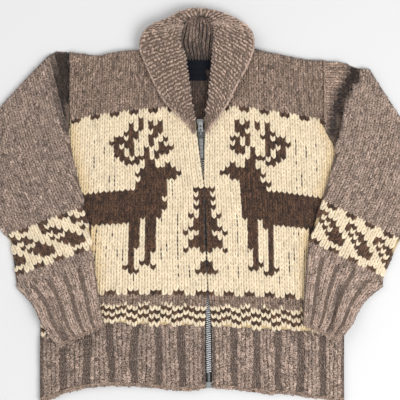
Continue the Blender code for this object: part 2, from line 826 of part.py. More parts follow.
def make_pull_tab():
    """A plate with a window round the bridge, hanging down the chain from its bar."""
    bar = TAB_THICK / 2
    head = TAB_WINDOW_END + TAB_FRAME
    outer = [
        (5.2, bar), (6.4, bar - 1.0), (6.4, -head + 1.6), (4.4, -head), (4.2, -head - 6),
        (3.4, -TAB_LENGTH + 2.5), (2.4, -TAB_LENGTH + 0.6), (0.9, -TAB_LENGTH),
    ]
    outer += [(-x, y) for x, y in reversed(outer)]
    window = [
        (TAB_WINDOW_HALF, -bar), (TAB_WINDOW_HALF, -TAB_WINDOW_END), (-TAB_WINDOW_HALF, -TAB_WINDOW_END),
        (-TAB_WINDOW_HALF, -bar),
    ]
    tab = make_object("pull_tab", *prism(outer, -TAB_THICK / 2, TAB_THICK / 2), METAL_FINISH, smooth=False)
    cutter = make_object("window", *prism(window, -TAB_THICK, TAB_THICK), METAL_FINISH, smooth=False)
    cutter.hide_render = True
    cutter.display_type = "WIRE"
    cut = tab.modifiers.new("window", "BOOLEAN")
    cut.operation = "DIFFERENCE"
    cut.object = cutter
    lean = math.atan2(zip_x(HINGE_Y - TAB_LENGTH) - zip_x(HINGE_Y), TAB_LENGTH) * 0.8
    for part in (tab, cutter):
        part.location = (zip_x(HINGE_Y) * MM, HINGE_Y * MM, hinge_height() * MM)
        part.rotation_euler = (math.radians(TAB_TILT_DEG), 0.0, lean)


def make_zip_box():
    middle = chain_z(BOX_Y[0])
    centre = zip_x(BOX_Y[0])
    foot, head = BOX_Y
    outline = [
        (centre + BOX_HALF, foot + 1), (centre + BOX_HALF, head), (centre - BOX_HALF, head),
        (centre - BOX_HALF, foot + 1), (centre - BOX_HALF + 1, foot), (centre + BOX_HALF - 1, foot),
    ]
    points, faces = prism(outline, middle - BOX_THICK / 2, middle + BOX_THICK / 2)
    make_object("zip_box", points, faces, METAL_FINISH, smooth=False)


def centre_on_floor():
    """Move everything so that the garment's box is centred on the origin and rests on z = 0."""
    parts = [o for o in bpy.context.scene.objects if o.type == "MESH" and not o.hide_render]
    corners = [o.matrix_world @ v.co for o in parts for v in o.data.vertices]
    middle_x = 0.5 * (min(c.x for c in corners) + max(c.x for c in corners))
    middle_y = 0.5 * (min(c.y for c in corners) + max(c.y for c in corners))
    for part in bpy.context.scene.objects:
        part.location.x -= middle_x
        part.location.y -= middle_y
    print(f"garment centre at x {middle_x / MM:.3f} mm, y {middle_y / MM:.3f} mm of the tables")


def main():
    for existing in list(bpy.data.objects):
        bpy.data.objects.remove(existing, do_unlink=True)
    make_back()
    make_front("left", left_side, left_front_edge)
    make_front("right", right_front_edge, right_side)
    make_sleeve("sleeve_left", LEFT_SLEEVE, LEFT_CROSSING_Y, LEFT_CREASE)
    make_sleeve("sleeve_right", RIGHT_SLEEVE, RIGHT_CROSSING_Y, RIGHT_CREASE)
    make_cuff("cuff_left", LEFT_CUFF, LEFT_CROSSING_Y)
    make_cuff("cuff_right", RIGHT_CUFF, RIGHT_CROSSING_Y)
    make_collar_half("collar_left", LEFT_COLLAR)
    make_collar_half("collar_right", RIGHT_COLLAR)
    make_collar_stand()
    make_zip_half("zip_left", -1.0)
    make_zip_half("zip_right", 1.0)
    make_slider()
    make_pull_tab()
    make_zip_box()
    make_labels()
    bpy.context.view_layer.update()
    centre_on_floor()


main()
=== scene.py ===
"""A hand-knitted zip cardigan with a shawl collar, laid flat with its sleeves folded down over the front.

The tables are in millimetres, with Y from the hem towards the collar, as a knitter would lay the garment on
a table. Every piece is moved at the end to the frame's own origin, the middle of the garment on the floor.
"""

import logging
import math
from collections.abc import Callable
from dataclasses import dataclass, field
from enum import Enum

import bpy
import numpy as np
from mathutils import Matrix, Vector


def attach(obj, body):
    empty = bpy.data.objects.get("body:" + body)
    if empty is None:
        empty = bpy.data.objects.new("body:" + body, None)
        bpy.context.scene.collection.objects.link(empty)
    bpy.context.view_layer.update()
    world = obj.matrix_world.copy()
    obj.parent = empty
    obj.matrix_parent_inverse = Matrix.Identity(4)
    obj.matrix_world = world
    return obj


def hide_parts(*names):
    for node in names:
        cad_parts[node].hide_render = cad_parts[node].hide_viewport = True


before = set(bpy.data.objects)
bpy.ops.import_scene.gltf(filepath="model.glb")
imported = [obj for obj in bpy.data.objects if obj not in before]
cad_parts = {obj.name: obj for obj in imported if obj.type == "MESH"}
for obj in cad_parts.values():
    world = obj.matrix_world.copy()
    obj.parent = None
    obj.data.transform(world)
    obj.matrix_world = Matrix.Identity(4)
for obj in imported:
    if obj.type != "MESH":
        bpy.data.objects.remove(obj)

LOG = logging.getLogger("cardigan")
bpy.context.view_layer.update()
MM = 0.001
TABLE_SHIFT = (5.5, -367.75)
SEED = 11
STITCH_WIDTH = 10.0
ROW_HEIGHT = 8.0
Array = np.ndarray
Piece = bpy.types.Object
Material = bpy.types.Material
Triple = tuple[float, float, float]
Surface = Callable[[Array, Array], Array]


class Side(Enum):
    """The garment's two sides, as seen from above."""

    LEFT = "left"
    RIGHT = "right"

    @property
    def sign(self) -> float:
        """Which way the side lies from the zip."""
        return -1.0 if self is Side.LEFT else 1.0


class Wool(Enum):
    """The three natural wool shades."""

    HEATHER = "heather"
    CREAM = "cream"
    BROWN = "brown"


class Loop(Enum):
    """How a stitch shows on the face of the knitting."""

    KNIT = "knit"
    PURL = "purl"
    GARTER = "garter"
    FLOAT = "float"


WOOL_COLOUR = {
    Wool.HEATHER: (0.268, 0.188, 0.143),
    Wool.CREAM: (0.84, 0.71, 0.515),
    Wool.BROWN: (0.079, 0.037, 0.019),
}
CREAM_TONE_SPREAD = 0.065
BROWN_TONE_SPREAD = 0.33
FLECK = 0.92
PALE_FLECK = 0.17
DARK_FLECK = 1.0
# Purl columns darker than knit ones: painted shade down in the rib valleys.
PURL_PAINTED_SHADE = 0.66
PURL_SINK = -0.04
FIBRE_SCALE = 0.35
PALE_FROM, DARK_UNTIL = 0.5, 0.12
LEAST_HEIGHT = 0.4
CLOTH_SINK = 2.2
RIB_MIDDLES = np.array([0.07, 0.32, 0.68, 0.93])
RIB_WIDTHS = np.array([0.14, 0.36, 0.36, 0.14])
GREYED = np.array((1.0, 1.04, 1.09))
# Colour of the cloth under the stitches: each wool much darker, as painted shade in the gaps between the
# stitches.
PAINTED_GAP_SHADE = {
    Wool.HEATHER: (0.125, 0.086, 0.064),
    Wool.CREAM: (0.56, 0.42, 0.23),
    Wool.BROWN: (0.028, 0.014, 0.010),
}


class Line:
    """A smooth curve through the rows of a two-column table."""

    def __init__(self, rows: list[tuple[float, float]]) -> None:
        """Keep the table as two arrays."""
        self.at = np.array([row[0] for row in rows], float)
        self.value = np.array([row[1] for row in rows], float)

    def read(self, places: Array | float) -> Array:
        """Value at each place, held at the ends.

        Args:
            places: where to read, in the table's first column.

        Returns:
            The second column there, with slopes that pass smoothly through the points.
        """
        x = np.clip(np.asarray(places, float), self.at[0], self.at[-1])
        i = np.clip(np.searchsorted(self.at, x), 1, len(self.at) - 1)
        before, after = np.maximum(i - 2, 0), np.minimum(i + 1, len(self.at) - 1)
        x0, x1, y0, y1 = self.at[i - 1], self.at[i], self.value[i - 1], self.value[i]
        slope0 = (y1 - self.value[before]) / (x1 - self.at[before])
        slope1 = (self.value[after] - y0) / (self.at[after] - x0)
        span = x1 - x0
        t = (x - x0) / span
        hold = (1 + 2 * t) * (1 - t) ** 2 * y0 + t * t * (3 - 2 * t) * y1
        return hold + t * (1 - t) ** 2 * span * slope0 + t * t * (t - 1) * span * slope1


def smooth_step(value: Array | float) -> Array:
    """Ease from 0 to 1."""
    t = np.clip(value, 0.0, 1.0)
    return t * t * (3.0 - 2.0 * t)


def lerp(a: Array | float, b: Array | float, t: Array | float) -> Array:
    """Point between two, by a share."""
    return a + (b - a) * t


def edge_drop(distance: Array, radius: float) -> Array:
    """How far a rounded edge of that radius falls below the face, at a distance in from the edge."""
    inside = np.clip(distance, 0.0, radius)
    return radius - np.sqrt(np.maximum(radius**2 - (radius - inside) ** 2, 0.0))


def wobble(x: Array, y: Array, size: float) -> Array:
    """Soft hollows and swells of hand-knitted cloth that lies on a table."""
    first = np.sin(x / 31.0 + 0.6 * np.sin(y / 47.0)) * np.sin(y / 38.0 + 1.3)
    second = np.sin(x / 17.0 + y / 29.0 + 2.1) * np.sin(y / 21.0 - x / 53.0)
    return size * (0.65 * first + 0.35 * second)


def curve(*rows: tuple[float, float]) -> Line:
    """A field that holds a curve through a table's rows."""
    return field(default_factory=lambda: Line(list(rows)))


def settled(across: Callable, along: Callable, shape: tuple[int, ...],
            start: float = 300.0) -> tuple[Array, Array]:
    """Places whose x depends on their y and whose y depends on their x, found by turns.

    Args:
        across: gives x from y.
        along: gives y from x.
        shape: shape of the answer.
        start: the first guess of y.

    Returns:
        The places across and along.
    """
    y = np.full(shape, start)
    for _ in range(5):
        x = across(y)
        y = along(x)
    return x, y


def nearest_on(x: Array, y: Array, start: tuple[float, float], end: tuple[float, float]) -> tuple[Array, ...]:
    """The nearest place on a straight line.

    Args:
        x: places across.
        y: places along.
        start: where the line starts.
        end: where it ends.

    Returns:
        The share along the line, the place on it and the distance to that.
    """
    dx, dy = end[0] - start[0], end[1] - start[1]
    t = np.clip(((x - start[0]) * dx + (y - start[1]) * dy) / max(dx * dx + dy * dy, 1e-9), 0.0, 1.0)
    near_x, near_y = start[0] + t * dx, start[1] + t * dy
    return t, near_x, near_y, np.hypot(x - near_x, y - near_y)


def unit_grid(cols: int, rows: int) -> tuple[Array, Array]:
    """Shares across and up of an even grid, from 0 to 1."""
    return np.meshgrid(np.linspace(0.0, 1.0, cols), np.linspace(0.0, 1.0, rows))


def stitch_grid(cols: int, rows: int) -> tuple[Array, Array]:
    """Column and row numbers of a field of stitches."""
    column, row = np.meshgrid(np.arange(cols), np.arange(rows))
    return column.ravel(), row.ravel()


def repeated(value: tuple[float, ...], count: int) -> Array:
    """The same step or colour for each of a number of stitches."""
    return np.tile(value, (count, 1))


@dataclass(frozen=True)
class BodyPlan:
    """Outline of the laid garment and the heights of its layers, in millimetres."""

    wall: float = 5.5
    seam: float = 0.3
    front_loft: float = 2.6
    ridge_flat: float = 20.0
    ridge_fall: float = 55.0
    ridge_open: float = 1.7
    ridge_closed: float = 4.9
    open_below_y: float = 105.0
    slider_top_y: float = 531.0
    climb_start: float = 5.0
    climb_length: float = 45.0
    rib_height: float = 2.4
    left_side: Line = curve(
        (-10, -304), (119, -304), (200, -300), (300, -290), (397, -280), (472, -264), (505, -250),
        (518, -247), (560, -247), (670, -247),
    )
    right_side: Line = curve(
        (-10, 274), (126, 274), (200, 276), (300, 275), (397, 271), (440, 268), (472, 261), (505, 240),
        (531, 236), (560, 236), (670, 236),
    )
    hem: Line = curve(
        (-304, -4), (-284, 0), (-261, 11), (-210, 23), (-176, 26), (-113, 25), (-25, 17), (13, 22),
        (70, 19), (132, 11), (164, 11), (204, 5), (274, -4),
    )
    rib_top: Line = curve(
        (-304, 120), (-240, 140), (-180, 146), (-113, 142), (13, 140), (113, 134), (193, 130), (274, 118),
    )
    shoulder: Line = curve(
        (-247, 659), (-212, 654), (-193, 652), (-174, 656), (-151, 660), (-115, 663), (-62, 662), (0, 662),
        (58, 664), (104, 665), (117, 661), (161, 652), (198, 645), (236, 643),
    )
    zip_line: Line = curve(
        (0, 17), (23, 17), (104, 16), (197, 15), (274, 12), (378, 9), (423, 6), (531, 0),
    )
    zip_gap: Line = curve(
        (-10, 5.6), (60, 6.0), (150, 6.0), (185, 2.6), (215, 1.0), (270, 1.6), (320, 2.4), (360, 1.4),
        (415, 1.0), (440, 3.2), (470, 5.0), (492, 6.6), (500, 7.3), (531, 7.6),
    )
    left_neck: Line = curve(
        (531, -7.6), (567, -26), (605, -42), (643, -55), (662, -62),
    )
    right_neck: Line = curve(
        (531, 8.0), (567, 26), (605, 40), (643, 52), (662, 58),
    )

    def edge(self, side: Side, y: Array) -> Array:
        """Inner edge of a front: along the zip, then up the neckline under the collar."""
        neck = self.left_neck if side is Side.LEFT else self.right_neck
        along_zip = self.zip_line.read(y) + side.sign * self.zip_gap.read(y)
        return np.where(y <= self.slider_top_y, along_zip, neck.read(y))

    def front_low(self, x: Array, y: Array) -> Array:
        """Underside of the fronts: on the back, lofted a little and lifted over the chain.

        Args:
            x: places across.
            y: places along.

        Returns:
            The height there.
        """
        inside = np.minimum(x - self.left_side.read(y), self.right_side.read(y) - x)
        loft = self.front_loft * smooth_step(inside / 120.0)
        away = np.abs(x - self.zip_line.read(np.minimum(y, self.slider_top_y))) - self.ridge_flat
        height = lerp(self.ridge_open, self.ridge_closed, smooth_step((y - self.open_below_y) / 30.0))
        ridge = height * (1.0 - smooth_step(away / self.ridge_fall))
        ridge = ridge * (1.0 - smooth_step((y - self.slider_top_y - 10.0) / 60.0))
        return self.wall + self.seam + np.maximum(loft, ridge)

    def front_high(self, x: Array, y: Array) -> Array:
        """Upper face of the fronts."""
        return self.front_low(x, y) + self.wall

    def under_sleeve(self, x: Array, y: Array, crossing_y: float) -> Array:
        """Height that a sleeve or cuff rests at: the floor, or the front and its ribbing.

        Args:
            x: places across.
            y: places along.
            crossing_y: how high up the body the sleeve still lies on it.

        Returns:
            The height there.
        """
        below = np.minimum(y, crossing_y)
        aside = np.maximum(np.maximum(self.left_side.read(below) - x, x - self.right_side.read(below)), 0.0)
        away = np.hypot(aside, np.maximum(y - crossing_y, 0.0)) - self.climb_start
        ribbed = self.rib_height * (1.0 - smooth_step((y - 150.0) / 25.0))
        top = self.front_high(np.clip(x, -304.0, 274.0), y) + ribbed + 0.6
        return (1.0 - smooth_step(away / self.climb_length)) * top

    def under_collar(self, x: Array, y: Array) -> Array:
        """Height that the collar rests at: the fronts, or the floor above the shoulder line."""
        beyond = y - self.shoulder.read(x) - self.climb_start
        over = 1.0 - smooth_step(beyond / 28.0)
        return over * (self.front_high(x, np.minimum(y, 662.0)) + 1.4)


PLAN = BodyPlan()


class NodeBench:
    """A new material, with short ways to add its nodes and join them."""

    def __init__(self, name: str, values: dict[str, float]) -> None:
        """Start a material.

        Args:
            name: the material's name.
            values: constants on the shader's sockets.
        """
        self.material = bpy.data.materials.new(name)
        self.material.use_nodes = True
        self.tree = self.material.node_tree
        self.shader = self.fill(self.tree.nodes["Principled BSDF"], values)

    def fill(self, node: bpy.types.Node, values: dict) -> bpy.types.Node:
        """Set constants on a node's sockets."""
        for socket, value in values.items():
            node.inputs[socket].default_value = value
        return node

    def add(self, kind: str, values: dict, **settings: str) -> bpy.types.Node:
        """Add a node.

        Args:
            kind: the node's type, without its common beginning.
            values: constants on its sockets.
            settings: the node's own settings.

        Returns:
            The node.
        """
        node = self.tree.nodes.new(f"ShaderNode{kind}")
        for setting, value in settings.items():
            setattr(node, setting, value)
        return self.fill(node, values)

    def join(self, *links: tuple) -> Material:
        """Join sockets, each link given as node, output, node and input; the answer is the material."""
        for source, output, target, socket in links:
            self.tree.links.new(source.outputs[output], target.inputs[socket])
        return self.material


def tinted(colour: Triple, share: float = 1.0) -> tuple[float, ...]:
    """A colour made darker or lighter, for a socket."""
    return (*[c * share for c in colour], 1.0)


@dataclass(frozen=True)
class YarnFinish:
    """Wool yarn: its shade comes from the piece, its fibres from noise that runs along each stitch."""

    name: str
    roughness: float = 0.95
    sheen: float = 0.25
    bump_mm: float = 0.5
    contrast: tuple[float, float] = (0.38, 0.62)
    fleck_tint: Triple = (0.90, 1.0, 1.12)

    def material(self) -> Material:
        """Make the wool material.

        Returns:
            The material, which reads the point attributes "shade", whose fourth value is how flecked
            the wool is, and "fibre".
        """
        bench = NodeBench(self.name, {"Roughness": self.roughness, "Sheen Weight": self.sheen,
                                      "Sheen Roughness": 0.6, "Specular IOR Level": 0.2})
        shade = bench.add("Attribute", {}, attribute_name="shade")
        fibre = bench.add("Attribute", {}, attribute_name="fibre")
        strands = bench.add("TexNoise", {"Scale": 2.5, "Detail": 2.0, "Roughness": 0.65})
        low, high = self.contrast
        spread = bench.add("MapRange", {"From Min": low, "From Max": high, "To Min": -1.0})
        fleck = bench.add("Math", {}, operation="MULTIPLY")
        grey = bench.add("VectorMath", {0: self.fleck_tint}, operation="SCALE")
        tint = bench.add("VectorMath", {}, operation="MULTIPLY_ADD")
        bump = bench.add("Bump", {"Strength": 0.6, "Distance": self.bump_mm * MM})
        return bench.join(
            (fibre, "Vector", strands, "Vector"), (strands, "Fac", spread, "Value"),
            (spread, "Result", fleck, 0), (shade, "Alpha", fleck, 1), (fleck, "Value", grey, "Scale"),
            (shade, "Color", tint, 0), (grey, "Vector", tint, 1), (shade, "Color", tint, 2),
            (tint, "Vector", bench.shader, "Base Color"), (strands, "Fac", bump, "Height"),
            (bump, "Normal", bench.shader, "Normal"),
        )


@dataclass(frozen=True)
class MetalFinish:
    """Worn nickel with fine scratches and a dull film."""

    name: str
    colour: Triple
    roughness: float

    def material(self) -> Material:
        """Make the metal material."""
        bench = NodeBench(self.name, {"Metallic": 1.0})
        place = bench.add("TexCoord", {})
        film = bench.add("TexNoise", {"Scale": 420.0, "Detail": 3.0})
        dull = bench.add("MapRange", {"To Min": self.roughness * 0.7, "To Max": self.roughness * 1.4})
        tone = bench.add("Mix", {}, data_type="RGBA")
        bench.fill(tone, {"A": tinted(self.colour, 0.75), "B": tinted(self.colour)})
        return bench.join(
            (place, "Object", film, "Vector"), (film, "Fac", dull, "Value"),
            (dull, "Result", bench.shader, "Roughness"), (film, "Fac", tone, "Factor"),
            (tone, "Result", bench.shader, "Base Color"),
        )


@dataclass(frozen=True)
class WovenFinish:
    """Closely woven tape or label cloth."""

    name: str
    colour: Triple
    thread_mm: float

    def material(self) -> Material:
        """Make the woven material."""
        bench = NodeBench(self.name, {"Roughness": 0.9, "Specular IOR Level": 0.15})
        place = bench.add("TexCoord", {})
        threads = bench.add("TexChecker", {"Scale": 1.0 / (self.thread_mm * MM),
                                           "Color1": tinted(self.colour, 0.6),
                                           "Color2": tinted(self.colour, 1.3)})
        bump = bench.add("Bump", {"Distance": 0.1 * MM})
        return bench.join(
            (place, "Object", threads, "Vector"), (threads, "Color", bench.shader, "Base Color"),
            (threads, "Fac", bump, "Height"), (bump, "Normal", bench.shader, "Normal"),
        )


def add_piece(name: str, points: Array, faces: list, material: Material) -> Piece:
    """A mesh piece from points in millimetres of the tables.

    Args:
        name: the piece's name.
        points: its points, one row each.
        faces: its faces, as lists of point numbers, or one array of quads.
        material: its finish.

    Returns:
        The object, at the frame's origin, riding on the garment.
    """
    world = (np.asarray(points, float) + (*TABLE_SHIFT, 0.0)) * MM
    mesh = bpy.data.meshes.new(name)
    mesh.from_pydata(world.tolist(), [], faces if isinstance(faces, list) else faces.tolist())
    mesh.shade_smooth()
    mesh.materials.append(material)
    piece = bpy.data.objects.new(name, mesh)
    bpy.context.scene.collection.objects.link(piece)
    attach(piece, "garment")
    return piece


def dress_node(name: str, finish: Material) -> None:
    """Give a solid of the frame its finish."""
    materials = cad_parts[name].data.materials
    materials.clear()
    materials.append(finish)


def paint(piece: Piece, shade: Array, fibre: Array) -> None:
    """Store each point's wool shade and its place along the fibres; pale wool is the least flecked.

    Args:
        piece: the piece.
        shade: colour of each point.
        fibre: place of each point along the fibres.
    """
    colour = piece.data.attributes.new("shade", "FLOAT_COLOR", "POINT")
    full = np.ones((len(shade), 4), np.float32)
    full[:, :3] = shade
    red = shade[:, 0]
    full[:, 3] = np.select([red > PALE_FROM, red < DARK_UNTIL], [PALE_FLECK, DARK_FLECK], FLECK)
    colour.data.foreach_set("color", full.ravel())
    place = piece.data.attributes.new("fibre", "FLOAT_VECTOR", "POINT")
    place.data.foreach_set("vector", fibre.astype(np.float32).ravel())


def shaped_primitive(add: Callable, shape: Callable) -> tuple[Array, list]:
    """Make a primitive, shape it in edit mode and take its mesh.

    Args:
        add: adds the primitive.
        shape: shapes it, with all of it selected in edit mode.

    Returns:
        Its points and its faces.
    """
    bpy.ops.object.select_all(action="DESELECT")
    add()
    made = bpy.context.object
    bpy.ops.object.mode_set(mode="EDIT")
    bpy.ops.mesh.select_all(action="SELECT")
    shape()
    bpy.ops.object.mode_set(mode="OBJECT")
    mesh = made.data
    points = np.array([v.co for v in mesh.vertices], float)
    faces = [list(f.vertices) for f in mesh.polygons]
    bpy.data.objects.remove(made)
    bpy.data.meshes.remove(mesh)
    return points, faces


@dataclass(frozen=True)
class StitchForm:
    """One drop of yarn, modelled once and turned into each kind of stitch."""

    sides: int = 6
    rings: int = 5
    half_width: float = 0.262
    half_length: float = 0.95
    half_height: float = 0.25
    lean: float = 0.13
    tuck: float = 0.13

    def drop(self) -> tuple[Array, list]:
        """Model a drop of yarn that lies along Y.

        Returns:
            Its points, from -1 to 1 each way, and its faces.
        """
        return shaped_primitive(
            lambda: bpy.ops.mesh.primitive_uv_sphere_add(
                segments=self.sides, ring_count=self.rings, radius=1.0),
            lambda: bpy.ops.transform.rotate(
                value=math.pi / 2, orient_axis="X", center_override=(0.0, 0.0, 0.0)),
        )

    def shaped(self, loop: Loop, drop: Array) -> Array:
        """Place a drop as one leg of a stitch.

        Args:
            loop: the kind of stitch.
            drop: the unit drop's points.

        Returns:
            Points as shares of a stitch across, of a row along, and of a stitch width in height.
        """
        x, y, z = drop.T
        if loop is Loop.KNIT:
            across = 0.245 + self.lean * y + self.half_width * x
            return np.stack([across, 0.5 + self.half_length * y,
                             self.half_height * z - self.tuck * y**2 - 0.04 * y], axis=1)
        if loop is Loop.PURL:
            return np.stack([0.24 - 0.13 * y + 0.20 * x, 0.5 + 0.66 * y, 0.24 * z - 0.12 * y**2], axis=1)
        if loop is Loop.FLOAT:
            return np.stack([0.5 + 0.10 * x, 0.5 + 0.46 * y, 0.10 * z - 0.03 * y**2], axis=1)
        tilt = math.radians(40.0)
        across = 0.25 + 0.31 * y * math.cos(tilt) - 0.25 * x * math.sin(tilt)
        along = 0.5 + 1.3 * (0.31 * y * math.sin(tilt) + 0.25 * x * math.cos(tilt))
        return np.stack([across, along, 0.34 * z - 0.12 * y**2], axis=1)

    def strand(self, drop: Array) -> Array:
        """Place of each point of a drop along and round its fibres."""
        around = np.arctan2(drop[:, 2], drop[:, 0])
        return np.stack([drop[:, 1] * 1.9, around * 0.5, np.zeros(len(drop))], axis=1)


@dataclass(frozen=True)
class Looseness:
    """How much hand-knitted stitches vary, as shares of a stitch; garter bumps vary the most."""

    turn: float
    tone: float
    turned_over: float = 0.0
    out_of_line: float = 0.0
    size: float = 0.06
    slip: float = 0.05
    stand: float = 0.025


EVEN = Looseness(turn=0.05, tone=0.20)
UNEVEN = Looseness(turn=0.40, tone=0.27, turned_over=0.45, out_of_line=0.16)


class Knitting:
    """Stitches gathered for one piece and laid on its surface."""

    form = StitchForm()

    def __init__(self, name: str, seed: int) -> None:
        """Start with no stitches.

        Args:
            name: the piece's name.
            seed: number that its random draws start from.
        """
        self.name = name
        self.random = np.random.default_rng(SEED + seed)
        self.groups: list[dict] = []

    def add(self, loop: Loop, centres: Array, across: Array, along: Array, shade: Array,
            lift: float = 0.0) -> None:
        """Add stitches of one kind.

        Args:
            loop: how they show.
            centres: foot of each stitch on the surface, two places each.
            across: one stitch width to the right, on the surface.
            along: one row up, on the surface.
            shade: colour of each.
            lift: how far they stand above the surface, in stitch widths.
        """
        if len(centres):
            self.groups.append({
                "loop": loop, "centres": np.asarray(centres, float), "across": np.asarray(across, float),
                "along": np.asarray(along, float), "shade": np.asarray(shade, float), "lift": lift,
            })

    def add_ribbing(self, ribs: int, rows: int, shade_at: Surface) -> None:
        """Add two by two ribbing: knit columns stand up, purl columns are drawn in and darker with painted
        shade.

        Args:
            ribs: how many ribs go across the surface's shares.
            rows: how many rows go up.
            shade_at: function for the colours, from shares across and up.
        """
        column, row = stitch_grid(ribs * 4, rows)
        within = column % 4
        share, level = (column // 4 + RIB_MIDDLES[within]) / ribs, row / rows
        centres = np.stack([share, level], axis=1)
        across = np.stack([RIB_WIDTHS[within] / ribs, np.zeros(len(share))], axis=1)
        along = repeated((0.0, 1.0 / rows), len(share))
        shade = shade_at(share, level)
        knit = (within == 1) | (within == 2)
        self.add(Loop.KNIT, centres[knit], across[knit], along[knit], shade[knit])
        self.add(Loop.PURL, centres[~knit], across[~knit], along[~knit], shade[~knit] * PURL_PAINTED_SHADE,
                 lift=PURL_SINK)

    def bind_off(self, count: int, level: float, width: float, tone: float) -> None:
        """Add a chain of loops that lies along an edge.

        Args:
            count: how many loops go across the surface's shares.
            level: share up of the chain.
            width: width of a loop, as a share up.
            tone: lightness of the heather wool.
        """
        centres = np.stack([np.arange(count) / count, np.full(count, level)], axis=1)
        shade = repeated(WOOL_COLOUR[Wool.HEATHER], count) * tone
        self.add(Loop.KNIT, centres, repeated((0.0, -width), count),
                 repeated((1.0 / count, 0.0), count), shade, lift=0.06)

    def lay(self, surface: Surface, width: float, material: Material) -> Piece:
        """Model every stitch on a surface.

        Args:
            surface: function from two places to three coordinates, for arrays of points.
            width: a stitch's width in millimetres, which scales its thickness.
            material: the wool.

        Returns:
            The joined piece.
        """
        drop, plan = self.form.drop()
        strand = self.form.strand(drop)
        points, faces, shades, fibres, base = [], [], [], [], 0
        for group in self.groups:
            form = self.form.shaped(group["loop"], drop)
            paired = group["loop"] is not Loop.FLOAT
            for side in ((1.0, -1.0) if paired else (1.0,)):
                placed, shade, fibre = self._place(group, form, strand, side, surface, width)
                count, size = len(group["centres"]), len(form)
                order = np.array([f if side > 0 else f[::-1] for f in plan if len(f) == 4])
                ends = np.array([f if side > 0 else f[::-1] for f in plan if len(f) == 3])
                starts = (base + np.arange(count) * size)[:, None, None]
                faces += (order[None] + starts).reshape(-1, 4).tolist()
                faces += (ends[None] + starts).reshape(-1, 3).tolist()
                points.append(placed)
                shades.append(shade)
                fibres.append(fibre)
                base += count * size
        piece = add_piece(self.name, np.concatenate(points), faces, material)
        paint(piece, np.concatenate(shades), np.concatenate(fibres))
        return piece

    def _place(self, group: dict, form: Array, strand: Array, side: float, surface: Surface,
               width: float) -> tuple[Array, Array, Array]:
        """One leg of every stitch in a group.

        Args:
            group: the stitches, as add stored them.
            form: the leg's points in shares of a stitch.
            strand: the leg's places along and round its fibres.
            side: 1 for the right leg, -1 for the left.
            surface: as in lay.
            width: as in lay.

        Returns:
            Points, shades and fibre places.
        """
        count = len(group["centres"])
        rand = self.random
        loose = UNEVEN if group["loop"] is Loop.GARTER else EVEN
        turn = rand.normal(0.0, loose.turn, (count, 1))
        grow = 1.0 + rand.normal(0.0, loose.size, (count, 1))
        a = form[None, :, 0] * side * grow + turn * (form[None, :, 1] - 0.5)
        b = form[None, :, 1] + rand.normal(0.0, loose.slip, (count, 1))
        if loose is UNEVEN:
            turned = rand.uniform(size=(count, 1)) < loose.turned_over
            b = np.where(turned, 1.0 - b, b)
            moved = rand.normal(0.0, loose.out_of_line, (count, 1))
            a, b = a + moved, b + moved * 0.6
        out = (form[None, :, 2] * grow + group["lift"] + rand.normal(0.0, loose.stand, (count, 1))) * width
        flat = (group["centres"][:, None, :] + a[..., None] * group["across"][:, None, :]
                + b[..., None] * group["along"][:, None, :]).reshape(-1, 2)
        here = surface(flat[:, 0], flat[:, 1])
        step = 0.05 * np.maximum(np.abs(group["across"]).sum(1), 1e-6).repeat(form.shape[0])
        right = surface(flat[:, 0] + step, flat[:, 1]) - here
        up = surface(flat[:, 0], flat[:, 1] + step) - here
        normal = np.cross(right, up)
        normal /= np.maximum(np.linalg.norm(normal, axis=1, keepdims=True), 1e-9)
        placed = here + normal * out.reshape(-1, 1)
        placed[:, 2] = np.maximum(placed[:, 2], LEAST_HEIGHT)
        red = group["shade"][:, :1]
        spread = np.select([red > PALE_FROM, red < DARK_UNTIL],
                           [CREAM_TONE_SPREAD, BROWN_TONE_SPREAD], loose.tone)
        spread = spread[:, None, :]
        tone = np.clip(1.0 + rand.normal(0.0, 1.0, (count, 1, 1)) * spread, 0.5, 1.6)
        shade = (group["shade"][:, None, :] * tone).repeat(form.shape[0], axis=1)
        fibre = strand[None] + rand.uniform(0.0, 50.0, (count, 1, 3))
        return placed, shade.reshape(-1, 3), fibre.reshape(-1, 3)


def shell_piece(name: str, plan: Array, low: Array, high: Array, shade: Array,
                material: Material) -> Piece:
    """A closed panel of cloth between two heights over a grid of points.

    Args:
        name: the piece's name.
        plan: rows by columns by two places.
        low: underside height at each.
        high: upper height at each.
        shade: colour at each.
        material: the wool.

    Returns:
        The piece.
    """
    rows, cols = plan.shape[:2]
    low = np.maximum(low, 0.05)
    high = np.maximum(high, low + 0.8)
    top = np.concatenate([plan, high[..., None]], axis=2).reshape(-1, 3)
    under = np.concatenate([plan, low[..., None]], axis=2).reshape(-1, 3)
    number = np.arange(rows * cols).reshape(rows, cols)
    quads = np.stack([number[:-1, :-1], number[:-1, 1:], number[1:, 1:], number[1:, :-1]],
                     axis=2).reshape(-1, 4)
    around = np.concatenate([number[0], number[1:, -1], number[-1, -2::-1], number[-2:0:-1, 0]])
    ahead = np.roll(around, -1)
    below = rows * cols
    sides = np.stack([around, around + below, ahead + below, ahead], axis=1)
    faces = quads.tolist() + (quads[:, ::-1] + below).tolist() + sides.tolist()
    points = np.concatenate([top, under])
    piece = add_piece(name, points, faces, material)
    flat = shade.reshape(-1, 3)
    paint(piece, np.concatenate([flat, flat]), points * FIBRE_SCALE)
    return piece


def shades_of(wools: Array, palette: dict) -> Array:
    """Colour of each stitch from its wool."""
    return np.array([palette[w] for w in wools.ravel()], float).reshape(*wools.shape, 3)


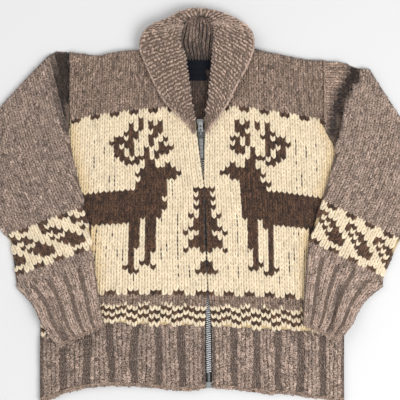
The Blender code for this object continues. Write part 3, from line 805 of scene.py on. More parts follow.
STAG_STROKES = (
    # start column and row, end column and row, half width at the start and at the end
    (10.4, 21.3, 26.0, 20.9, 3.0, 2.9), (9.8, 19.4, 9.4, 25.4, 2.0, 2.1), (9.4, 25.4, 9.7, 30.6, 2.0, 0.9),
    (13.4, 23.6, 10.6, 27.8, 0.9, 0.8), (8.2, 28.9, 5.8, 28.8, 1.1, 1.15),
    (4.5, 28.6, 4.4, 28.2, 0.45, 0.4), (6.4, 30.0, 6.2, 30.6, 0.45, 0.35),
    (11.2, 29.4, 12.6, 28.4, 0.6, 0.55), (13.0, 26.8, 13.0, 26.4, 0.35, 0.35),
    (13.2, 18.4, 13.1, 10.6, 1.0, 0.6), (13.1, 10.6, 13.4, 5.8, 0.6, 0.5),
    (13.2, 5.8, 12.4, 5.6, 0.5, 0.45), (14.5, 6.8, 14.3, 6.4, 0.35, 0.35),
    (9.8, 18.6, 10.0, 12.2, 1.4, 0.85), (10.0, 12.2, 10.3, 7.8, 0.8, 0.55),
    (11.4, 7.4, 11.2, 7.4, 0.4, 0.4), (9.6, 6.6, 9.9, 6.4, 0.5, 0.5), (22.6, 19.0, 21.6, 12.0, 2.0, 0.6),
    (9.7, 30.6, 10.6, 32.6, 0.9, 0.55), (10.6, 32.4, 12.8, 32.4, 0.5, 0.45),
    (12.8, 31.6, 14.4, 31.9, 0.45, 0.5), (14.4, 32.0, 15.6, 33.1, 0.5, 0.45),
    (16.5, 33.4, 16.6, 35.9, 0.5, 0.5), (17.5, 36.4, 15.4, 37.2, 0.45, 0.7),
    (15.5, 37.4, 14.5, 38.4, 0.5, 0.5), (13.5, 38.4, 13.5, 40.4, 0.5, 0.5),
    (13.5, 33.4, 13.7, 36.8, 0.55, 0.75), (12.5, 37.2, 12.5, 38.0, 0.4, 0.4),
    (11.5, 39.4, 11.5, 41.0, 0.4, 0.4), (10.5, 33.0, 10.5, 34.6, 0.45, 0.4),
    (8.6, 33.3, 7.2, 34.4, 0.7, 0.6), (6.5, 34.0, 5.6, 34.9, 0.4, 0.4), (7.6, 35.6, 6.5, 36.6, 0.45, 0.4),
    (9.5, 35.2, 9.4, 37.2, 0.45, 0.5), (8.6, 37.2, 8.4, 39.4, 0.5, 0.45), (7.5, 38.6, 7.4, 40.6, 0.4, 0.4),
    (9.5, 39.4, 9.4, 40.2, 0.35, 0.35), (14.6, 36.0, 14.5, 35.2, 0.45, 0.4),
    (15.5, 34.4, 15.4, 34.0, 0.35, 0.35),
)
FIR_BARS = (
    # column, first row, row after the last
    (0, 10, 25), (1, 24, 25), (1, 22, 23), (1, 20, 21), (2, 18, 19), (1, 15, 18), (2, 15, 16), (3, 14, 15),
    (1, 11, 14), (2, 11, 13), (3, 10, 11), (0, 5, 8), (1, 5, 6),
)


FLOAT_ZONES = (
    # between these columns, between these rows, chance of a loose strand
    (14.5, 22.0, 5, 16, 0.55), (4.5, 9.5, 7, 22, 0.38), (16.5, 22.0, 25, 38, 0.28), (3.5, 7.0, 15, 30, 0.26),
)
FLOAT_ELSEWHERE = 0.02
SCATTER = (12.9898, 78.233, 437.585)


def stag_covers(columns: Array, rows: Array) -> Array:
    """Where a standing stag that faces the zip is brown.

    Args:
        columns: columns from the zip.
        rows: rows above the chest panel's foot.

    Returns:
        A truth value for each stitch.
    """
    found = np.zeros(columns.shape, bool)
    stitch = np.array((STITCH_WIDTH, ROW_HEIGHT))
    for *ends, half_start, half_end in STAG_STROKES:
        start, end = np.array(ends[:2]) * stitch, np.array(ends[2:]) * stitch
        t, _, _, away = nearest_on(columns * STITCH_WIDTH, rows * ROW_HEIGHT, start, end)
        found |= away <= lerp(half_start, half_end, t) * STITCH_WIDTH
    return found


def fir_covers(columns: Array, rows: Array) -> Array:
    """Where half a fir tree beside the zip is brown: tiers of hanging branches over a small stand.

    Args:
        columns: columns from the zip.
        rows: rows above the chest panel's foot.

    Returns:
        A truth value for each stitch.
    """
    found = np.zeros(columns.shape, bool)
    for column, foot, head in FIR_BARS:
        found |= (np.floor(columns) == column) & (rows >= foot) & (rows < head)
    return found


@dataclass
class Front:
    """One front with its stripes, chest panel and yoke, and the hem ribbing below it."""

    side: Side
    material: Material
    columns: int
    ribs: int
    seed: int
    stag_shift: float
    # Lightness of the hem's heather stitches, which is painted light.
    hem_painted_light: float
    stripe_rows: int = 5
    plain_rows: int = 3
    chest_rows: int = 44
    yoke_rows: int = 14
    hem_rows: int = 15
    edge_radius: float = 4.5
    # Painted shade on the cream beside the sleeve: how far it reaches and its warm, darker tint.
    fold_shade_reach: float = 26.0
    fold_shade_tint: Triple = (0.92, 0.85, 0.71)
    outer: Line = field(init=False)
    chest_foot: Line = curve(
        (-304, 182), (-240, 196), (-100, 200), (13, 198), (150, 194), (274, 182),
    )
    chest_head: Line = curve(
        (-304, 512), (-240, 531), (-150, 546), (-40, 555), (60, 556), (150, 545), (236, 529), (274, 515),
    )

    def __post_init__(self) -> None:
        """Side line that the columns follow; it doesn't turn in at the armhole as the cloth does."""
        left = Line([(-10, -304), (200, -299), (397, -281), (670, -262)])
        right = Line([(-10, 274), (200, 276), (397, 271), (670, 258)])
        self.outer = left if self.side is Side.LEFT else right

    def level(self, row: Array, x: Array) -> Array:
        """Distance along the garment of a row of stitches, which bends with the cloth.

        Args:
            row: rows above the ribbing.
            x: places across.

        Returns:
            The distance there.
        """
        marks = np.cumsum([0, self.stripe_rows + self.plain_rows, self.chest_rows, self.yoke_rows])
        lines = [line.read(x) for line in (PLAN.rib_top, self.chest_foot, self.chest_head, PLAN.shoulder)]
        y = lines[0] + (row - marks[0]) * (lines[1] - lines[0]) / marks[1]
        for k in (1, 2):
            share = (row - marks[k]) / (marks[k + 1] - marks[k])
            y = np.where(row > marks[k], lerp(lines[k], lines[k + 1], share), y)
        return y

    def edge(self, y: Array) -> Array:
        """Edge along the zip and neck."""
        return PLAN.edge(self.side, y)

    def zip_edge(self, y: Array) -> Array:
        """Edge that the columns follow: straight on up past the neck."""
        return PLAN.zip_line.read(y) + self.side.sign * PLAN.zip_gap.read(np.minimum(y, 500.0))

    def side_line(self, y: Array) -> Array:
        """Outer side of the front's cloth."""
        return (PLAN.left_side if self.side is Side.LEFT else PLAN.right_side).read(y)

    def span(self, y: Array, share: Array) -> Array:
        """Place across the cloth, from a share that runs from left to right."""
        ends = self.side_line(y), self.edge(y)
        return lerp(*(ends if self.side is Side.LEFT else ends[::-1]), share)

    def place(self, column: Array, row: Array) -> tuple[Array, Array]:
        """Table place of a point given in columns from the zip and rows above the ribbing."""
        return settled(lambda y: lerp(self.zip_edge(y), self.outer.read(y), column / self.columns),
                       lambda x: self.level(row, x), np.broadcast(column, row).shape)

    def wool(self, column: Array, row: Array) -> Array:
        """Wool of each stitch from its column and row.

        Args:
            column: columns from the zip.
            row: rows above the ribbing.

        Returns:
            The wool of each.
        """
        wools = np.full(column.shape, Wool.HEATHER, object)
        stripe = row < self.stripe_rows
        wools[stripe & (np.floor(row) % 2 == 0)] = Wool.CREAM
        wools[stripe & (np.floor(row) % 2 == 1)] = Wool.BROWN
        foot = self.stripe_rows + self.plain_rows
        inner = row - foot
        chest = (inner >= 0) & (inner < self.chest_rows)
        wools[chest] = Wool.CREAM
        notch = np.floor(column + float(self.side is Side.RIGHT)) % 4 < 2
        wools[chest & (inner < 1) & notch] = Wool.BROWN
        wools[chest & (inner >= self.chest_rows - 1) & notch] = Wool.BROWN
        drawn = stag_covers(column + self.stag_shift, inner) | fir_covers(column, inner)
        wools[chest & drawn & (inner > 2) & (inner < self.chest_rows - 2)] = Wool.BROWN
        return wools

    def height(self, x: Array, y: Array) -> Array:
        """Upper face of the cloth under the stitches, rounded off at its edges.

        Args:
            x: places across.
            y: places along.

        Returns:
            The height there.
        """
        inward = np.minimum(np.abs(x - self.edge(y)), 60.0)
        aside = np.minimum(np.abs(x - self.side_line(y)), 60.0)
        below = np.clip(PLAN.shoulder.read(x) - y, 0.0, 60.0)
        drop = edge_drop(inward, self.edge_radius) + edge_drop(aside, 6.0) + edge_drop(below, 5.0)
        return PLAN.front_high(x, y) + wobble(x, y, 0.9) - CLOTH_SINK - drop

    def fold_painted_shade(self, x: Array, y: Array, shade: Array) -> Array:
        """Paint warm, darker shade on the cream wool where it lies in the fold beside the sleeve.

        Args:
            x: places across.
            y: places along.
            shade: colour of each stitch.

        Returns:
            The colours, with warmer, darker painted shade near the fold.
        """
        stations = LEFT_SLEEVE if self.side is Side.LEFT else RIGHT_SLEEVE
        inner = sorted((s[3], s[2]) for s in stations)
        edge = np.interp(y, [row[0] for row in inner], [row[1] for row in inner])
        share = 1.0 - smooth_step(np.abs(x - edge) / self.fold_shade_reach)
        fold_shade = lerp(1.0, np.array(self.fold_shade_tint), share[:, None])
        return np.where(shade[:, :1] > PALE_FROM, shade * fold_shade, shade)

    def floats(self, column: Array, inner: Array, wools: Array,
               random: np.random.Generator) -> Array:
        """Which cream stitches let a carried brown strand show beside them.

        Args:
            column: columns from the zip.
            inner: rows above the chest panel's foot.
            wools: wool of each stitch.
            random: source of the chances.

        Returns:
            A truth value for each stitch.
        """
        zones = [(column > left) & (column < right) & (inner > foot) & (inner < head)
                 for left, right, foot, head, _ in FLOAT_ZONES]
        chance = np.select(zones, [zone[-1] for zone in FLOAT_ZONES], FLOAT_ELSEWHERE)
        stack = np.floor((inner + 1.7 * np.floor(column)) / 3.0)
        key = np.sin(np.floor(column) * SCATTER[0] + stack * SCATTER[1]) * SCATTER[2]
        cream = np.array([w is Wool.CREAM for w in wools])
        steady = (key - np.floor(key)) < chance
        return cream & steady & (inner > 2) & (inner < 41) & (random.uniform(size=len(column)) < 0.85)

    def surface(self, x: Array, y: Array) -> Array:
        """The same as points, turned down where they would pass the side or the shoulder.

        Args:
            x: places across.
            y: places along.

        Returns:
            Points of the face.
        """
        inner_x = np.clip(x, PLAN.left_side.read(y) + 1.4, PLAN.right_side.read(y) - 1.4)
        inner_y = np.minimum(y, PLAN.shoulder.read(inner_x) - 1.6)
        beyond = np.abs(x - inner_x) + y - inner_y
        return np.stack([inner_x, inner_y, self.height(inner_x, inner_y) - 0.8 * beyond], axis=1)

    def stitches(self) -> Piece:
        """Lay the front's stitches.

        Returns:
            The joined piece.
        """
        rows = self.stripe_rows + self.plain_rows + self.chest_rows + self.yoke_rows
        column, row = stitch_grid(self.columns, rows)
        column, row = column + 0.5, row.astype(float)
        wools = self.wool(column, row + 0.5)
        hump = (row < self.stripe_rows) * (0.85 * (np.floor(column / 2.0) % 2) + 0.22 * np.sin(column * 1.9))
        row = row + hump
        x, y = self.place(column, row)
        shown = self.inside(x, y + 4.0)
        column, row, wools, x, y = column[shown], row[shown], wools[shown], x[shown], y[shown]
        left_x, left_y = self.place(column + 0.5, row)
        right_x, right_y = self.place(column - 0.5, row)
        next_x, next_y = self.place(column, row + 1.0)
        across = -self.side.sign * np.stack([right_x - left_x, right_y - left_y], axis=1)
        along = np.stack([next_x - x, next_y - y], axis=1)
        knitting = Knitting(f"front_{self.side.value}_stitches", self.seed)
        centres = np.stack([x, y], axis=1)
        shade = self.fold_painted_shade(x, y, shades_of(wools, WOOL_COLOUR))
        knitting.add(Loop.KNIT, centres, across, along, shade, lift=0.05)
        strand = self.floats(column, row - self.stripe_rows - self.plain_rows, wools, knitting.random)
        dark = repeated(WOOL_COLOUR[Wool.BROWN], int(strand.sum())) * 0.7
        knitting.add(Loop.FLOAT, centres[strand], across[strand], along[strand], dark, lift=0.20)
        piece = knitting.lay(self.surface, STITCH_WIDTH, self.material)
        return piece

    def inside(self, x: Array, y: Array) -> Array:
        """Whether a place is on the front's cloth.

        Args:
            x: places across.
            y: places along.

        Returns:
            A truth value for each place.
        """
        from_side = self.side.sign * (self.side_line(y) - x) > -4.0
        from_edge = self.side.sign * (x - self.edge(y)) > 1.0
        within = from_side & from_edge
        covered = (y > 506.0) & (np.abs(x - self.edge(y)) < 8.0)
        return within & ~covered & (y < PLAN.shoulder.read(x) - 2.0)

    def cloth(self) -> Piece:
        """The sheet under the stitches, in painted shade for the gaps between them.

        Returns:
            The sheet.
        """
        share, level = unit_grid(34, 84)
        x, y = settled(lambda y: self.span(y, share),
                       lambda x: lerp(PLAN.rib_top.read(x) + 0.15, PLAN.shoulder.read(x) - 0.5, level),
                       share.shape)
        high = self.height(x, y)
        low = np.minimum(PLAN.front_low(x, y) + 0.2, high - 1.2)
        shade = shades_of(self.wool(self.column_at(x, y), self.row_at(x, y)), PAINTED_GAP_SHADE)
        name = f"front_{self.side.value}"
        piece = shell_piece(f"{name}_cloth", np.stack([x, y], axis=2), low, high, shade, self.material)
        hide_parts(name)
        return piece

    def column_at(self, x: Array, y: Array) -> Array:
        """Column of a place, counted from the zip."""
        return (x - self.zip_edge(y)) / (self.outer.read(y) - self.zip_edge(y)) * self.columns

    def row_at(self, x: Array, y: Array) -> Array:
        """Row of a place, counted from the ribbing.

        Args:
            x: places across.
            y: places along.

        Returns:
            The rows.
        """
        rows = np.arange(0.0, self.stripe_rows + self.plain_rows + self.chest_rows + self.yoke_rows + 1.0)
        flat_x, flat_y = x.ravel(), y.ravel()
        levels = np.stack([self.level(np.full(flat_x.shape, r), flat_x) for r in rows])
        found = (levels < flat_y[None]).sum(0) - 1
        return np.clip(found, 0, len(rows) - 2).reshape(x.shape) + 0.5

    def hem_place(self, share: Array, level: Array) -> tuple[Array, Array]:
        """Table place of a point in the hem, from shares across and up."""
        return settled(lambda y: self.span(y, share),
                       lambda x: lerp(PLAN.hem.read(x), PLAN.rib_top.read(x), level),
                       np.broadcast(share, level).shape, 80.0)

    def hem_surface(self, share: Array, level: Array) -> Array:
        """Upper face of the ribbing, whose ribs wander a little.

        Args:
            share: shares across.
            level: shares up.

        Returns:
            Points of the face.
        """
        wander = 0.006 * np.sin(level * 4.1 + share * 17.0) + 0.004 * np.sin(level * 7.3 - share * 31.0)
        share = np.clip(share, 0.003, 0.997)
        x, y = self.hem_place(share + wander * np.sin(np.pi * share), level)
        wave = 0.5 - 0.5 * np.cos(2.0 * np.pi * self.ribs * share)
        fade = lerp(1.0, 0.5, smooth_step((level - 0.85) / 0.15)) * smooth_step((level + 0.02) / 0.12)
        tall = PLAN.rib_height * wave * fade
        inward = np.minimum(np.abs(x - self.edge(y)), 60.0)
        foot = np.maximum(y - PLAN.hem.read(x), 0.0)
        drop = edge_drop(inward, self.edge_radius) + edge_drop(foot, 4.5)
        z = PLAN.front_high(x, y) - 2.6 + tall + wobble(x, y, 0.7) - drop
        return np.stack([x, y, z], axis=-1)

    def hem_stitches(self) -> Piece:
        """The ribbing's stitches, and a chain of loops along the hem's edge.

        Returns:
            The joined piece.
        """
        knitting = Knitting(f"hem_{self.side.value}_stitches", self.seed + 2)
        knitting.add_ribbing(self.ribs, self.hem_rows, lambda share, level: repeated(
            WOOL_COLOUR[Wool.HEATHER], len(share)) * self.hem_painted_light * GREYED)
        knitting.bind_off(self.ribs * 5, 0.03, 0.062, 1.06)
        piece = knitting.lay(self.hem_surface, 10.5, self.material)
        return piece

    def hem_cloth(self) -> Piece:
        """The sheet under the ribbing, in painted gap shade made darker still.

        Returns:
            The sheet.
        """
        share, level = unit_grid(self.ribs * 8 + 1, 17)
        points = self.hem_surface(share, level)
        low = np.minimum(PLAN.front_low(points[..., 0], points[..., 1]) + 0.2, points[..., 2] - 1.0)
        shade = np.tile(PAINTED_GAP_SHADE[Wool.HEATHER], (*share.shape, 1)) * 0.6
        name = f"hem_{self.side.value}"
        piece = shell_piece(f"{name}_cloth", points[..., :2], low, points[..., 2], shade, self.material)
        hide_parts(name)
        return piece

    def build(self) -> None:
        """Make the front and its hem."""
        self.cloth()
        self.stitches()
        self.hem_cloth()
        self.hem_stitches()
        LOG.info("front %s built", self.side.value)


@dataclass(frozen=True)
class FlatTube:
    """Plan of a tube pressed flat: outer and inner fold of each cross-line, open at both ends."""

    stations: list
    reach: float = 14.0

    def table(self) -> Array:
        """The cross-lines, with one more a little way beyond each end.

        Returns:
            The rows.
        """
        rows = np.array(self.stations, float)
        ends = []
        for here, ahead in ((rows[0], rows[1]), (rows[-1], rows[-2])):
            beyond = here.copy()
            for k in (0, 2):
                step = here[k:k + 2] - ahead[k:k + 2]
                beyond[k:k + 2] += step / max(np.hypot(*step), 1e-6) * self.reach
            ends.append(beyond)
        return np.vstack([ends[0], rows, ends[1]])

    def within(self, x: Array, y: Array, longer: bool = False) -> Array:
        """Whether places lie between the folds.

        Args:
            x: places across.
            y: places along.
            longer: whether to count the added ends.

        Returns:
            A truth value for each place.
        """
        rows = self.table() if longer else np.array(self.stations, float)
        outline = np.vstack([rows[:, :2], rows[::-1, 2:]])
        found = np.zeros(x.shape, bool)
        for (x0, y0), (x1, y1) in zip(outline, np.roll(outline, -1, axis=0)):
            crosses = (y0 > y) != (y1 > y)
            slope = (x1 - x0) / (y1 - y0) if y1 != y0 else 0.0
            found ^= crosses & (x < x0 + slope * (y - y0))
        return found

    def nearest(self, x: Array, y: Array) -> tuple[Array, Array, Array]:
        """Find the nearer fold.

        Args:
            x: places across.
            y: places along.

        Returns:
            Distance to it, negative beyond it, and the place on it.
        """
        rows = self.table()
        least, near_x, near_y = (np.full(x.shape, value) for value in (1e9, 0.0, 0.0))
        for chain in (rows[:, :2], rows[:, 2:]):
            for start, end in zip(chain[:-1], chain[1:]):
                _, px, py, gap = nearest_on(x, y, start, end)
                pairs = ((gap, least), (px, near_x), (py, near_y))
                least, near_x, near_y = (np.where(gap < least, *pair) for pair in pairs)
        return np.where(self.within(x, y, longer=True), least, -least), near_x, near_y

    def pulled_in(self, x: Array, y: Array, margin: float) -> tuple[Array, Array, Array]:
        """Bring places that lie past a fold back inside it.

        Args:
            x: places across.
            y: places along.
            margin: how far inside the fold they may come at most.

        Returns:
            The places and how far each was moved.
        """
        depth, near_x, near_y = self.nearest(x, y)
        beyond = np.clip(margin - depth, 0.0, 12.0)
        away = np.maximum(np.abs(depth), 1e-6) * np.where(depth < 0.0, -1.0, 1.0)
        return x + (x - near_x) / away * beyond, y + (y - near_y) / away * beyond, beyond


LEFT_SLEEVE = [
    # outer x, outer y, inner x, inner y
    (-247.7, 659, -247.9, 521), (-259, 661, -248.6, 516), (-273, 662, -248, 509), (-290, 652, -246, 497),
    (-331, 610, -243, 480), (-369, 569, -239, 460), (-397, 535, -236, 445), (-416, 505, -232, 430),
    (-427, 472, -228, 415), (-431, 435, -224, 400), (-425, 397, -220, 388), (-406, 352, -218, 375),
    (-361, 299, -217, 362), (-355, 262, -209, 330), (-351, 228, -202, 288), (-348, 209, -199, 263),
]
RIGHT_SLEEVE = [
    (236.7, 643, 240.9, 507), (261, 642, 246, 495), (280, 637, 252, 483), (299, 630, 255, 472),
    (323, 627, 254, 462), (340, 600, 251, 450), (357, 574, 246, 432), (378, 542, 242, 416),
    (397, 510, 237, 402), (412, 472, 233, 390), (420, 431, 229, 378), (418, 387, 226, 368),
    (404, 342, 224, 362), (376, 292, 223, 357), (362, 262, 213, 328), (349, 232, 206, 306),
    (349, 214, 203, 289),
]
LEFT_CUFF = [
    (-347.6, 208.4, -198.8, 262.4), (-325, 188, -195, 235), (-312, 171, -191, 205), (-303, 149, -187, 180),
    (-288, 123, -183, 158), (-268, 100, -180, 142),
]
RIGHT_CUFF = [
    (348.8, 213.2, 202.8, 288.2), (330, 199, 199, 260), (313, 184, 197, 228), (300, 165, 195, 196),
    (288, 141, 194, 168), (262, 109, 193, 146),
]
LEFT_CROSSING, RIGHT_CROSSING = 522.0, 508.0
LEFT_CREASE = Line([(505, -249), (540, -252), (580, -256), (620, -258), (655, -258)])
RIGHT_CREASE = Line([(476, 254), (510, 261), (554, 270), (580, 277), (601, 290), (624, 300)])


@dataclass
class Sleeve:
    """A sleeve pressed flat: its knitting runs down the arm, with a leaf band above the cuff."""

    side: Side
    material: Material
    seed: int
    stations: list
    crossing_y: float
    crease: Line
    crease_body: float
    crease_sleeve: float
    across_deg: float
    column_deg: float
    turn_deg: float
    band_foot: tuple[float, float]
    leaf: Triple
    # Lightness of the heather stitches, which is painted light: the sleeves face the lamps more than the
    # body.
    tone: float
    capped: bool = False
    loft: float = 3.2
    edge_radius: float = 9.0
    crease_depth: float = 9.5
    # Painted shade for the stitches that lie down in the armhole crease.
    crease_painted_shade: Triple = (0.10, 0.078, 0.068)
    grid_rows: tuple[int, int] = (-12, 66)
    half_columns: int = 34
    turn_from: float = 10.0
    turn_over: float = 34.0
    cap_above: float = 474.0
    pad_extra: float = 24.0
    pad: float = 3.5
    band_rows: int = 10
    tube: FlatTube = field(init=False)

    def __post_init__(self) -> None:
        """Plan of the pressed tube."""
        self.tube = FlatTube(self.stations)

    def toward_body(self, x: Array, y: Array) -> Array:
        """Distance from the armhole crease towards the body."""
        return (self.crease.read(y) - x) * self.side.sign

    def trough(self, x: Array, y: Array, extra: float = 0.0) -> Array:
        """1 along the bottom of the armhole crease, 0 beyond its two widths.

        Args:
            x: places across.
            y: places along.
            extra: how much wider to make it.

        Returns:
            The depth there, from 0 to 1.
        """
        aside = self.toward_body(x, y)
        narrow = lerp(0.42, 1.0, smooth_step((y - self.crease.at[0]) / 110.0))
        width = np.where(aside > 0.0, self.crease_body, self.crease_sleeve * narrow) + extra
        ends = smooth_step((y - self.crease.at[0] + 12.0) / 24.0)
        return (1.0 - smooth_step(np.abs(aside) / width)) * ends

    def height(self, x: Array, y: Array) -> Array:
        """Upper face under the stitches.

        Args:
            x: places across.
            y: places along.

        Returns:
            The height there.
        """
        inward = np.maximum(self.tube.nearest(x, y)[0], 0.0)
        base = PLAN.under_sleeve(x, y, self.crossing_y)
        loft = self.loft * np.sqrt(np.clip(inward / 70.0, 0.0, 1.0))
        trough = self.trough(x, y)
        pads = self.pad * (self.trough(x, y, self.pad_extra) - trough)
        top = base + 2.0 * PLAN.wall + PLAN.seam + loft * (1.0 - trough) + pads - self.crease_depth * trough
        top += wobble(x, y, 1.1) - CLOTH_SINK - edge_drop(inward, self.edge_radius)
        return np.maximum(top, 2.6)

    def surface(self, x: Array, y: Array) -> Array:
        """The same as points, wrapped round the folds."""
        x, y, beyond = self.tube.pulled_in(x, y, 2.6)
        return np.stack([x, y, self.height(x, y) - 0.9 * beyond], axis=1)

    def wool(self, column: Array, row: Array) -> Array:
        """Wool of each stitch, from its column and the row above the band's foot.

        Args:
            column: columns from the band's middle.
            row: rows above the band's foot.

        Returns:
            The wool of each.
        """
        wools = np.full(column.shape, Wool.HEATHER, object)
        band = (row >= 0) & (row < self.band_rows)
        wools[band] = Wool.CREAM
        block = np.floor(column) % 4 < 2
        edge = (row < 1) | (row >= self.band_rows - 1)
        first, middle, slope = self.leaf
        for shift in (-6.0, 0.0, 6.0):
            place = (column - first + 3.0) % 6.0 - 3.0 + shift
            off = np.abs(row - middle + slope * place)
            thick = 1.8 * (1.0 - np.minimum(np.abs(place) / 4.1, 1.0) ** 2.0) + 0.2
            leaf = (np.abs(place) < 3.9) & (off < thick) & (row > 1) & (row < self.band_rows - 1)
            vein = (off < 0.5) & (place > -2.2) & (place < 0.8)
            wools[band & leaf & ~vein] = Wool.BROWN
        wools[band & edge & block] = Wool.BROWN
        return wools

    def grid(self) -> tuple[Array, ...]:
        """Columns and rows that cover the sleeve, where they are, and one stitch and one row from each.

        Returns:
            Columns, rows, places, and the steps across and along.
        """
        rows = np.arange(*self.grid_rows, dtype=float)
        turn = np.radians(self.turn_deg) * smooth_step((rows - self.turn_from) / self.turn_over)
        tilt = np.radians(self.across_deg) + turn * self.side.sign
        lean = np.radians(self.column_deg) + turn * self.side.sign
        across = np.stack([np.cos(tilt), np.sin(tilt)], axis=1) * STITCH_WIDTH
        along = np.stack([-np.sin(lean), np.cos(lean)], axis=1) * ROW_HEIGHT
        to_foot = along[:1 - self.grid_rows[0]].sum(axis=0)
        spine = np.array(self.band_foot) + np.cumsum(along, axis=0) - to_foot
        column, index = stitch_grid(2 * self.half_columns + 1, len(rows))
        column = column - self.half_columns + 0.5
        place = spine[index] + column[:, None] * across[index]
        ahead = np.minimum(index + 1, len(rows) - 1)
        step = spine[ahead] + column[:, None] * across[ahead] - place
        return column, rows[index], place, across[index], step

    def stitches(self) -> Piece:
        """Lay the sleeve's stitches.

        Returns:
            The joined piece.
        """
        column, row, place, across, along = self.grid()
        x, y = (place + 0.5 * along).T
        shown = self.tube.within(x, y) & (self.tube.nearest(x, y)[0] > 2.4) & (np.hypot(*along.T) > 1.0)
        shown &= ~(self.capped & (self.toward_body(x, y) > 0.0) & (y > self.cap_above))
        wools = self.wool(column[shown], row[shown] + 0.5)
        knitting = Knitting(f"sleeve_{self.side.value}_stitches", self.seed)
        shade = shades_of(wools, WOOL_COLOUR)
        # Heather stitches lighter by the sleeve's tone, which is painted light.
        shade = np.where(shade[:, :1] > PALE_FROM, shade, shade * self.tone * GREYED)
        self.knit(knitting, place[shown], across[shown], along[shown], shade)
        if self.capped:
            self.cap(knitting)
        piece = knitting.lay(self.surface, STITCH_WIDTH, self.material)
        return piece

    def knit(self, knitting: Knitting, place: Array, across: Array, along: Array,
             shade: Array) -> None:
        """Add stitches, with painted shade where they lie down in the crease.

        Args:
            knitting: what they are added to.
            place: foot of each stitch.
            across: one stitch width to the right of each.
            along: one row up from each.
            shade: colour of each.
        """
        middle = place + 0.5 * along
        deep = np.minimum(1.45 * self.trough(middle[:, 0], middle[:, 1])[:, None], 1.0)
        dark = lerp(1.0, np.array(self.crease_painted_shade), deep)
        knitting.add(Loop.KNIT, place, across, along, shade * dark, lift=0.04)

    def cap(self, knitting: Knitting) -> None:
        """The strip between the shoulder seam and the crease, whose columns run out along the shoulder.

        Args:
            knitting: what its stitches are added to.
        """
        column, row = stitch_grid(18, 9)
        place = np.stack([237.0 + row * ROW_HEIGHT, 480.0 + column * 9.6], axis=1)
        along, across = repeated((ROW_HEIGHT, 0.6), len(place)), repeated((0.6, -9.6), len(place))
        x, y = (place + 0.5 * along).T
        shown = (self.tube.nearest(x, y)[0] > 2.0) & (self.toward_body(x, y) > 0.0) & self.tube.within(x, y)
        shade = repeated(WOOL_COLOUR[Wool.HEATHER], int(shown.sum())) * self.tone
        self.knit(knitting, place[shown], across[shown], along[shown], shade)
        count, pitch = 19, 7.3
        seam = np.stack([np.full(count, 236.3), 505.0 + np.arange(count) * pitch], axis=1)
        pale = repeated(WOOL_COLOUR[Wool.HEATHER], count) * 1.35
        knitting.add(Loop.KNIT, seam, repeated((4.6, 0.0), count), repeated((0.0, pitch), count), pale,
                     lift=0.10)

    def gap_painted_shade(self, x: Array, y: Array) -> Array:
        """Painted shade of the cloth between the stitches, darker than each wool, which follows the leaf
        band.

        Args:
            x: places across.
            y: places along.

        Returns:
            The colours.
        """
        tilt, lean = math.radians(self.across_deg), math.radians(self.column_deg)
        right = (STITCH_WIDTH * math.cos(tilt), STITCH_WIDTH * math.sin(tilt))
        up = (-ROW_HEIGHT * math.sin(lean), ROW_HEIGHT * math.cos(lean))
        away_x, away_y = x - self.band_foot[0], y - self.band_foot[1]
        area = right[0] * up[1] - right[1] * up[0]
        column = (away_x * up[1] - away_y * up[0]) / area
        row = (right[0] * away_y - right[1] * away_x) / area
        return shades_of(self.wool(np.floor(column) + 0.5, np.floor(row) + 0.5), PAINTED_GAP_SHADE)

    def build(self) -> None:
        """Make the sleeve: a flattened tube of cloth and the stitches on it."""
        tube_cloth(f"sleeve_{self.side.value}", self.stations, self.height, self.crossing_y, self.material,
                   self.gap_painted_shade)
        self.stitches()
        LOG.info("sleeve %s built", self.side.value)


